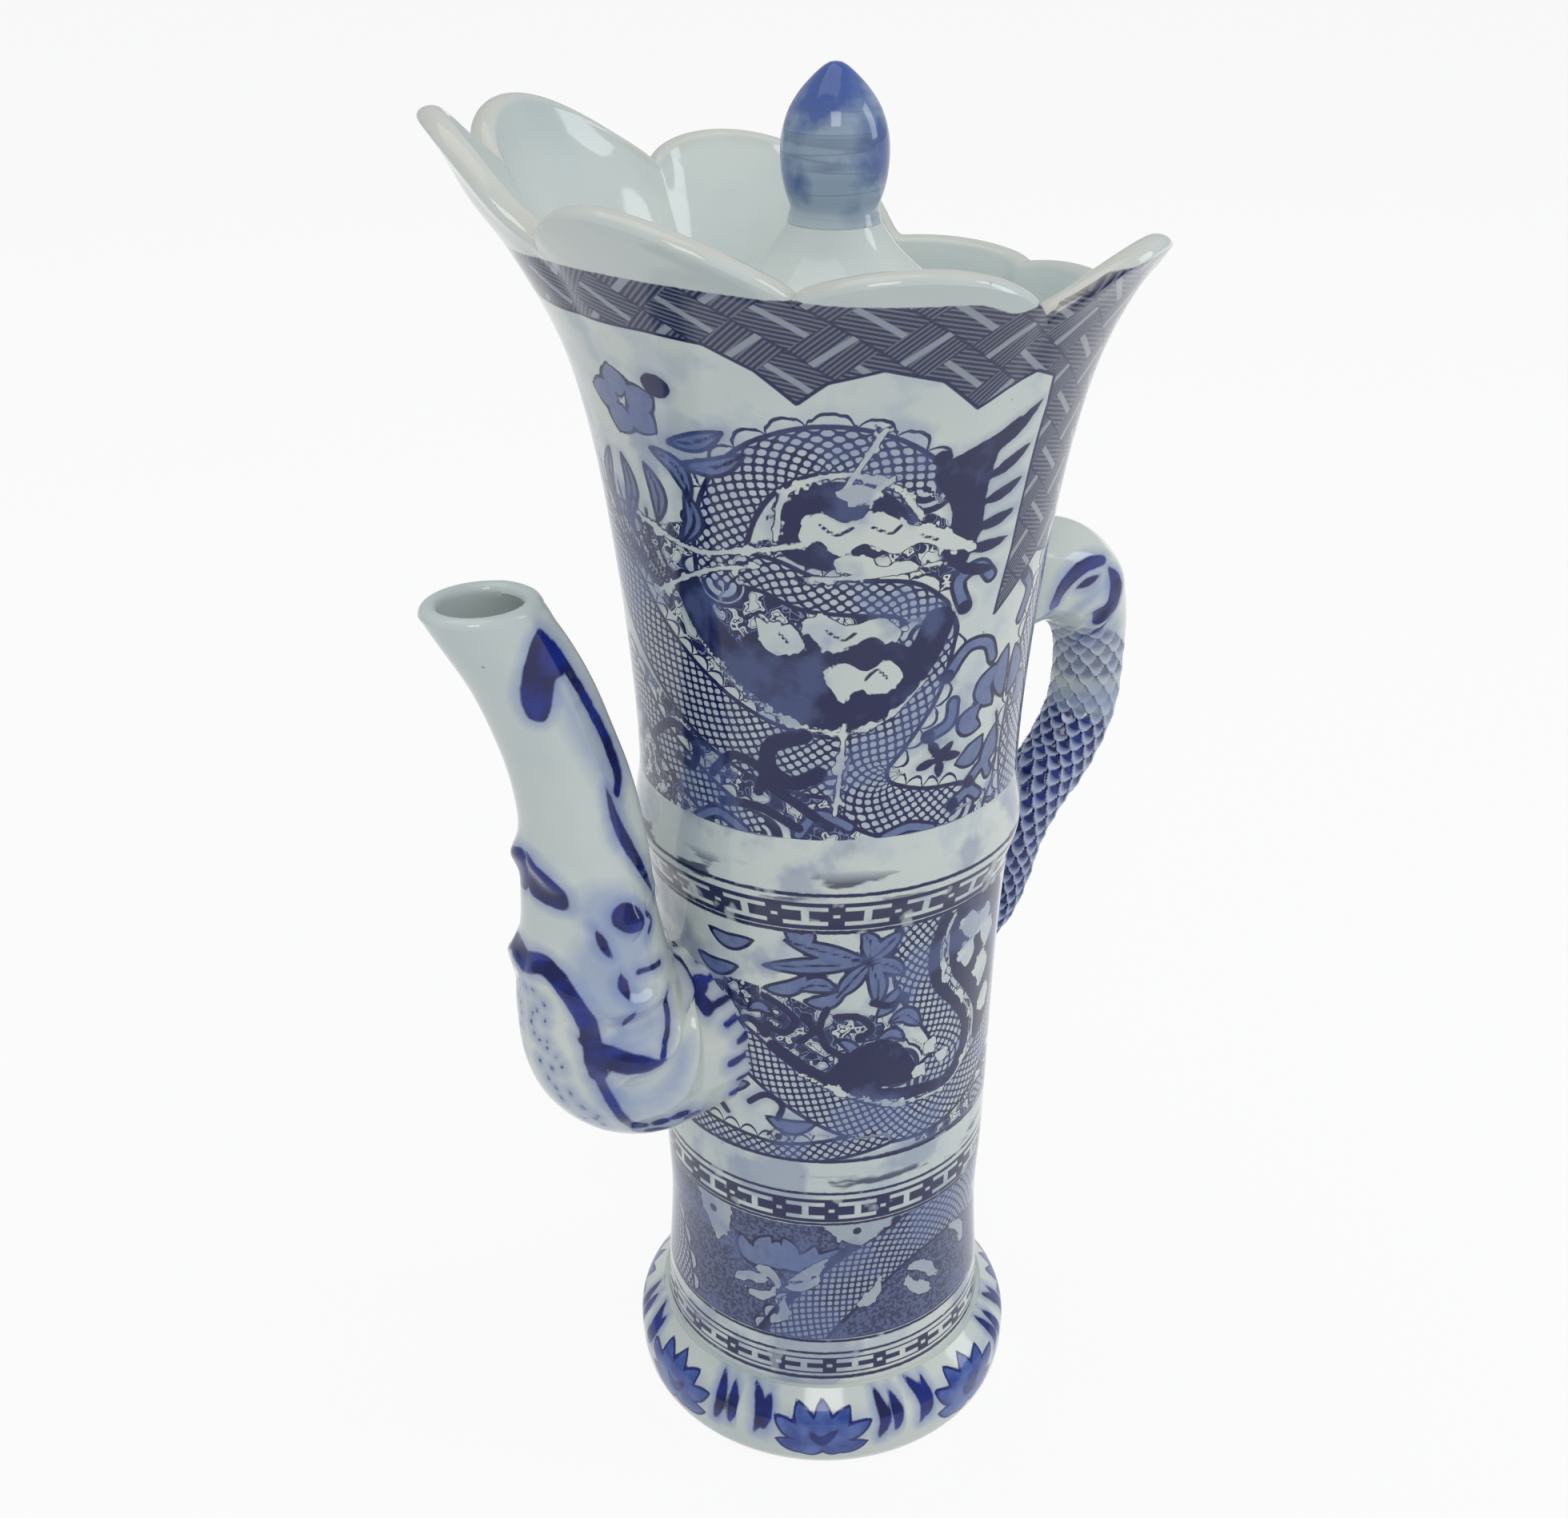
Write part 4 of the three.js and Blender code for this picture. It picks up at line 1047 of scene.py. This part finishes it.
class LimbSketch(Sketch):
    """A sketch on a limb, drawn in painter's places."""

    def __init__(self, girth, s, turn):
        super().__init__(s, turn * np.interp(s, *np.array(girth, float).T))
        self.girth = girth

    def line(self, name, width, points, leaf=False):
        super().line(name, width, flat(self.girth, points), leaf)

    def area(self, name, points):
        super().area(name, flat(self.girth, points))

    def dot(self, name, radius, place):
        (s, across), = flat(self.girth, [place])
        super().line(name, 2 * radius, [(s, across), (s + 0.01, across)])


def spout_sketch(s, turn):
    """Cobalt strokes and washes, the same on both cheeks."""
    sk = LimbSketch(SPOUT_GIRTH, s, turn)
    sk.area("stroke", [(133, 66), (129, 58), (122, 62), (122, 80), (118, 96), (115.5, 110), (118, 124), (124, 120),
        (131, 92)])
    sk.line("stroke", 2.4, [(128, 62), (115, 54), (104, 47), (95, 50), (92, 60)])
    sk.line("stroke", 3.2, [(95, 74), (86, 74), (76, 58), (64, 38)], leaf=True)
    sk.line("wash", 4, [(124, 84), (106, 77), (96, 70), (84, 78)])
    sk.area("stroke", [(82, 180), (81, 160), (76, 138), (70.5, 135), (71, 160), (73, 180)])
    sk.dot("stroke", 3.4, (66, 86))
    sk.line("stroke", 1.4, [(64, 64), (61.5, 58), (60, 66)])
    sk.line("wash", 14, [(68, 100), (60, 90), (56, 110), (48, 100)])
    sk.line("stroke", 2.2, [(65.5, 114), (61, 108), (58, 103)], leaf=True)
    sk.line("stroke", 2.6, [(54.5, 99), (51, 97), (48, 95)], leaf=True)
    sk.line("stroke", 2.0, [(46, 94), (43.5, 97), (41, 101)], leaf=True)
    sk.line("stroke", 1.4, [(52.5, 82), (51.5, 68), (51, 58)])
    sk.line("stroke", 4.2, [(43, 134), (37.5, 118), (32.5, 99), (28, 82)], leaf=True)
    sk.line("stroke", 1.6, [(30, 84), (33, 73), (38, 65), (43, 61)])
    sk.line("wash", 8, [(44, 90), (38, 84), (38, 104)])
    sk.line("stroke", 4.0, [(55, 182), (57, 160), (54.5, 143), (48.6, 130), (42, 124.5), (34, 124)])
    sk.line("stroke", 2.0, [(36, 124), (30, 125), (25, 129), (21, 135)])
    sk.line("wash", 5, [(30, 122), (24, 112), (21, 95), (22, 75)])
    sk.area("wash", [(33, 128), (29, 122), (26, 124), (29, 131)])
    for blot in ((20.6, 133), (18, 126), (15.5, 121), (17, 140), (13, 128)):
        sk.dot("stroke", 1.5, blot)
    for k in range(26):
        sk.dot("stroke", 0.42, (50 - 1.15 * k + 1.6 * np.sin(2.4 * k), 170 - 0.9 * k + 9 * np.sin(1.7 * k)))
    for turn_at, reach in ((12, 4), (30, 6.5), (48, 8.5), (62, 5), (75, 3.5), (90, 6), (104, 4), (120, 5),
            (136, 3.5), (152, 5), (168, 4)):
        sk.line("stroke", 1.5, [(1.5, turn_at), (reach, turn_at + 3)])
    sk.line("stroke", 4.4, [(7, 32), (9.5, 38), (8.5, 48)])
    sk.line("stroke", 1.4, [(44, 18), (38, 22), (33, 32), (30, 44)])
    sk.line("stroke", 1.2, [(40, 12), (34, 10), (30, 18)])
    return sk


# Folds: (height, width, course) in millimetres and painter's places. A negative height is a groove.
SPOUT_FOLDS = [
    (1.7, 3.4, [(56, 144), (49, 118), (46, 93), (44.5, 64)]),
    (-1.0, 2.4, [(42, 124), (41, 104), (40, 80), (41, 62)]),
    (1.6, 3.6, [(37, 130), (34, 113), (30, 90), (28, 74), (33, 58)]),
    (-0.9, 2.2, [(30, 128), (27, 112), (24, 95), (24, 70)]),
    (1.5, 3.8, [(24, 128), (20, 110), (18, 90), (19, 62), (25, 42)]),
    (2.0, 5.0, [(66, 90), (64, 80), (62, 72)]),
    (1.5, 4.5, [(82, 180), (79, 155), (74, 136)]),
    (1.4, 3.0, [(52, 182), (54, 158), (52, 142), (46, 130), (38, 127)]),
    (1.8, 3.2, [(44, 12), (38, 20), (32, 34), (29, 46)]),
    (1.5, 3.0, [(38, 4), (31, 12), (25, 26)]),
    (1.5, 3.0, [(132, 40), (118, 34), (104, 30), (90, 34), (78, 36), (66, 28)]),
    (0.8, 2.6, [(62, 112), (55, 104), (48, 98)]),
]


def folds(girth, courses, s, turn):
    """Rounded ridges and grooves: each adds height times a bell of the distance to its course."""
    u, v = s.ravel(), (turn * np.interp(s, *np.array(girth, float).T)).ravel()
    total = np.zeros(u.size)
    for height, width, course in courses:
        path = spline(flat(girth, course), 6)
        gap, _, done, whole = nearest_piece(u, v, path)
        ends = np.sin(np.pi * np.clip(done / whole, 0.04, 0.96)) ** 0.5
        total += height * ends * np.exp(-((gap / width) ** 2) * 1.6)
    return total.reshape(s.shape)


def spout_rows(around=150):
    """Out along the outside to a level mouth, over a round lip and back down the bore."""
    angle = np.linspace(0, 2 * np.pi, around, endpoint=False)
    length = centripetal(SPOUT_STATIONS, np.array([0.0, 1.0]))[3]
    share = np.linspace(0, 1, 230)[:, None]
    lip, bore_wall = 1.7, 3.4
    sides, fields = [], {}
    for shrink, sunk in ((0.0, 1.4), (bore_wall, 2.4)):
        start = first_outside(SPOUT_STATIONS, angle, shrink, sunk)
        fine = np.linspace(0.7, 1, 300)[:, None]
        top = carried(SPOUT_STATIONS, fine + 0 * angle, angle + 0 * fine, -shrink)[..., 2]
        end = fine[np.argmax(top > SPOUT_TOP - lip, 0), 0]
        at = share + (1 - share) ** 4 * start + share**4 * (end - 1)
        turn = np.abs(np.arctan2(np.sin(angle), np.cos(angle))) + 0 * at
        s = at * length
        if shrink:
            sides.append(carried(SPOUT_STATIONS, at, angle + 0 * at, -shrink)[::-4])
        else:
            lift = 1.3 * folds(SPOUT_GIRTH, SPOUT_FOLDS, s, turn)
            lift = lift * smoothstep(s, 3, 12) + 2.2 * np.exp(-((s / 6.5) ** 2)) * (1 + 0.3 * np.cos(14 * angle))
            lift = lift - 0.5 * smoothstep(s, 12, 30) * (1 - smoothstep(s, 56, 90))
            sides.append(carried(SPOUT_STATIONS, at, angle + 0 * at, lift))
            fields = spout_sketch(s, turn).fields("stroke", "wash", "petal")
    outer, inner = sides
    outer[-1, :, 2] = inner[0, :, 2] = SPOUT_TOP - lip
    swing = np.linspace(0, np.pi, 9)[1:-1, None, None]
    half = (outer[-1] - inner[0]) / 2
    arc = (outer[-1] + inner[0]) / 2 + half * np.cos(swing) + np.array([0, 0, lip]) * np.sin(swing)
    rows = np.concatenate([outer, arc, inner])
    padded = {}
    for name, values in fields.items():
        blank = np.full((len(arc) + len(inner), around), Sketch.FAR)
        padded[name] = np.concatenate([values, blank])
    return rows, padded


spout_grid, spout_fields = spout_rows()
skin("spout", spout_grid, "pot", ["spout_collar", "spout_head", "spout_tube"], SPOUT_GLAZE,
             fields=spout_fields)

# %% [markdown]
# ## The handle: a serpent
# Its head bites the wall high up. Behind an eye drawn as two crescents, rows of scales begin, each row shifted half a
# scale, and the body thins to a tail that runs back into the wall. A scale is a tilted shield, highest at its edge.

# %% Handle

HANDLE_STATIONS = between(
    body_radius(200.5), 82.6, 104, 200.5,
    [(-0.08, 0.94, 10.97, 10.97), (0.3, 1, 12.9, 12.9), (0.6, 0.99, 12.9, 12.9), (0.83, 0.93, 12.0, 12.0),
     (0.97, 0.83, 10.15, 9.24), (1, 0.71, 9.4, 8.4), (0.96, 0.58, 9.4, 8.4), (0.78, 0.46, 9.4, 8.4),
     (0.57, 0.38, 9.12, 8.4), (0.42, 0.28, 8.46, 7.81), (0.37, 0.17, 6.6, 6.6), (0.26, 0.07, 5.61, 5.61),
     (-0.09, -0.03, 4.62, 4.62)],
)
HANDLE_GIRTH = [(0, 12), (40, 12.5), (55, 11), (75, 9), (115, 8.6), (135, 6.5), (160, 5)]
SCALE = 4.6  # width of one scale
ROW = 0.62 * SCALE  # from one row of scales to the next


def handle_sketch(s, turn):
    sk = LimbSketch(HANDLE_GIRTH, s, turn)
    sk.area("stroke", [(15, 112), (17, 86), (23, 68), (31, 58), (31, 68), (25, 82), (20, 100), (19, 116)])
    sk.area("stroke", [(38, 118), (39, 100), (36, 80), (33, 66), (38, 64), (43, 82), (45, 104), (44, 124)])
    sk.line("stroke", 2.2, [(24, 96), (28, 88), (31, 78)], leaf=True)
    sk.line("wash", 6, [(30, 118), (32, 98), (35, 80)])
    sk.line("stroke", 2.0, [(52, 158), (49, 138), (47.5, 116), (45, 96)], leaf=True)
    sk.line("wash", 5, [(54, 160), (52, 120), (50, 90)])
    sk.line("wash", 7, [(72, 170), (70, 120), (70, 60)])
    return sk


def scale_relief(s, across):
    """Shields in offset rows: the relief climbs from nought under one edge to one at the next, rounded across."""
    row = np.floor(s / ROW)
    best = np.zeros_like(s)
    for back in (0, 1):
        k = row - back
        shift = np.mod(k, 2) * 0.5
        middle = (np.round(across / SCALE - shift) + shift) * SCALE
        u = (s - k * ROW) / (2 * ROW)
        v = (across - middle) / (0.56 * SCALE)
        edge = np.sqrt(np.maximum(1 - v**2, 0))
        inside = (u >= 0) & (u <= edge) & (np.abs(v) < 1)
        shield = np.where(inside, 0.25 + 0.75 * (u / np.maximum(edge, 0.05)) ** 1.5, 0)
        best = np.maximum(best, shield)
    return best


def handle_rows(around=170, count=520):
    angle = np.linspace(0, 2 * np.pi, around, endpoint=False)
    share = np.linspace(0, 1, count)[:, None] + 0 * angle
    length = centripetal(HANDLE_STATIONS, np.array([0.0, 1.0]))[3]
    s = share * length
    side = np.arctan2(np.sin(angle), np.cos(angle)) + 0 * s
    turn = np.abs(side)
    outer_side = smoothstep(turn, np.radians(48), np.radians(62))
    scaled = smoothstep(s + 8 * (turn - 1.6), 50, 53) * outer_side
    relief = scale_relief(s, side * 8.8)
    brow = folds(HANDLE_GIRTH, [(1.0, 4.0, [(14, 112), (18, 80), (30, 54), (38, 58), (44, 84)]),
                                (0.8, 3.0, [(47, 150), (46, 120), (42, 96)])], s, turn)
    lift = brow * (1 - scaled) + scaled * (1.05 * relief - 0.55) - 0.5
    rows = carried(HANDLE_STATIONS, share, angle + 0 * s, lift)
    rows[..., 0] *= -1
    fields = handle_sketch(s, turn).fields("stroke", "wash", "petal")
    fields["relief"] = relief
    patch = smoothstep(s, 62, 66) * (1 - smoothstep(s, 72, 77))
    fields["scaled"] = scaled * (1 - 0.75 * patch) * (0.55 + 0.45 * smoothstep(s, 50, 78))
    return rows, fields


handle_grid, handle_fields = handle_rows()
first, last = handle_grid[0].mean(0), handle_grid[-1].mean(0)
skin(
    "serpent_handle", handle_grid, "pot", ["handle_head", "handle_body", "handle_tail"], HANDLE_GLAZE,
    poles=[first, last], fields=handle_fields, sharp=60,
)

# %% [markdown]
# ## Floor, light and camera
# Soft plain light from two large panels and a pale world, as inside a white tent. The floor looks white to the
# camera and in reflections, and still takes the pot's soft shadow.

# %% Stage


def seen_white(name, colour, shadow_share):
    """A matt surface that the camera, reflections and clear materials see mostly as white."""
    net = Net(name)
    matt = net.node("ShaderNodeBsdfDiffuse", {}, {"Color": (*colour, 1.0)})
    glow = net.node("ShaderNodeEmission", {}, {"Color": (1, 1, 1, 1), "Strength": 1.0})
    seen = net.node("ShaderNodeLightPath", out="Is Camera Ray")
    for ray in ("Is Glossy Ray", "Is Transmission Ray"):
        seen = seen.sum("MAXIMUM", net.node("ShaderNodeLightPath", out=ray))
    both = net.node("ShaderNodeMixShader", {}, {0: seen * shadow_share, 1: matt, 2: glow})
    net.node("ShaderNodeOutputMaterial", {}, {"Surface": both})
    return net.material


floor_mesh = bpy.data.meshes.new("floor")
edge = np.linspace(0, 2 * np.pi, 64, endpoint=False)
floor_mesh.from_pydata([(9 * np.cos(t), 9 * np.sin(t), 0) for t in edge], [], [list(range(64))])
floor = bpy.data.objects.new("floor", floor_mesh)
bpy.context.scene.collection.objects.link(floor)
floor_mesh.materials.append(seen_white("pale_floor", (0.85, 0.85, 0.85), 0.9))

world = bpy.data.worlds.new("tent")
world.use_nodes = True
bpy.context.scene.world = world
tree = world.node_tree
tree.nodes.clear()
sky = tree.nodes.new("ShaderNodeBackground")
sky.inputs["Color"].default_value = (0.92, 0.96, 1.0, 1.0)
sky.inputs["Strength"].default_value = 0.5
white = tree.nodes.new("ShaderNodeBackground")
white.inputs["Strength"].default_value = 1.0
rays = tree.nodes.new("ShaderNodeLightPath")
which = tree.nodes.new("ShaderNodeMixShader")
out = tree.nodes.new("ShaderNodeOutputWorld")
tree.links.new(rays.outputs["Is Camera Ray"], which.inputs[0])
tree.links.new(sky.outputs[0], which.inputs[1])
tree.links.new(white.outputs[0], which.inputs[2])
tree.links.new(which.outputs[0], out.inputs["Surface"])


def panel_light(name, place, aim, size, power, colour=(1, 1, 1)):
    light = bpy.data.lights.new(name, "AREA")
    light.shape, light.size, light.size_y = "RECTANGLE", size[0], size[1]
    light.energy, light.color = power, colour
    lamp = bpy.data.objects.new(name, light)
    lamp.location = place
    lamp.rotation_euler = (Vector(aim) - Vector(place)).to_track_quat("-Z", "Y").to_euler()
    bpy.context.scene.collection.objects.link(lamp)


panel_light("window", (0.9, 1.2, 1.5), (0, 0, 0.15), (0.7, 0.7), 8.5, (1.0, 0.99, 0.97))
panel_light("side_window", (-1.3, 0.9, 0.9), (0, 0, 0.18), (0.5, 1.0), 6, (0.95, 0.98, 1.0))
panel_light("overhead", (0.1, -0.2, 1.7), (0, 0, 0.2), (1.2, 1.2), 5)

# %% Camera
stand, stand_off, stand_height = np.radians(51), 0.3857, 0.3642
azimuth, pitch = stand + np.radians(180 + 1.47), np.radians(26.8)
camera = bpy.data.objects.new("camera", bpy.data.cameras.new("camera"))
camera.location = (AXIS[0] * MM + stand_off * np.cos(stand), AXIS[1] * MM + stand_off * np.sin(stand), stand_height)
ahead = Vector((np.cos(azimuth) * np.cos(pitch), np.sin(azimuth) * np.cos(pitch), -np.sin(pitch)))
camera.rotation_euler = ahead.to_track_quat("-Z", "Y").to_euler()
camera.data.sensor_width = 36
camera.data.lens = 44.08
bpy.context.scene.collection.objects.link(camera)
bpy.context.scene.camera = camera
bpy.context.scene.view_settings.view_transform = "Standard"
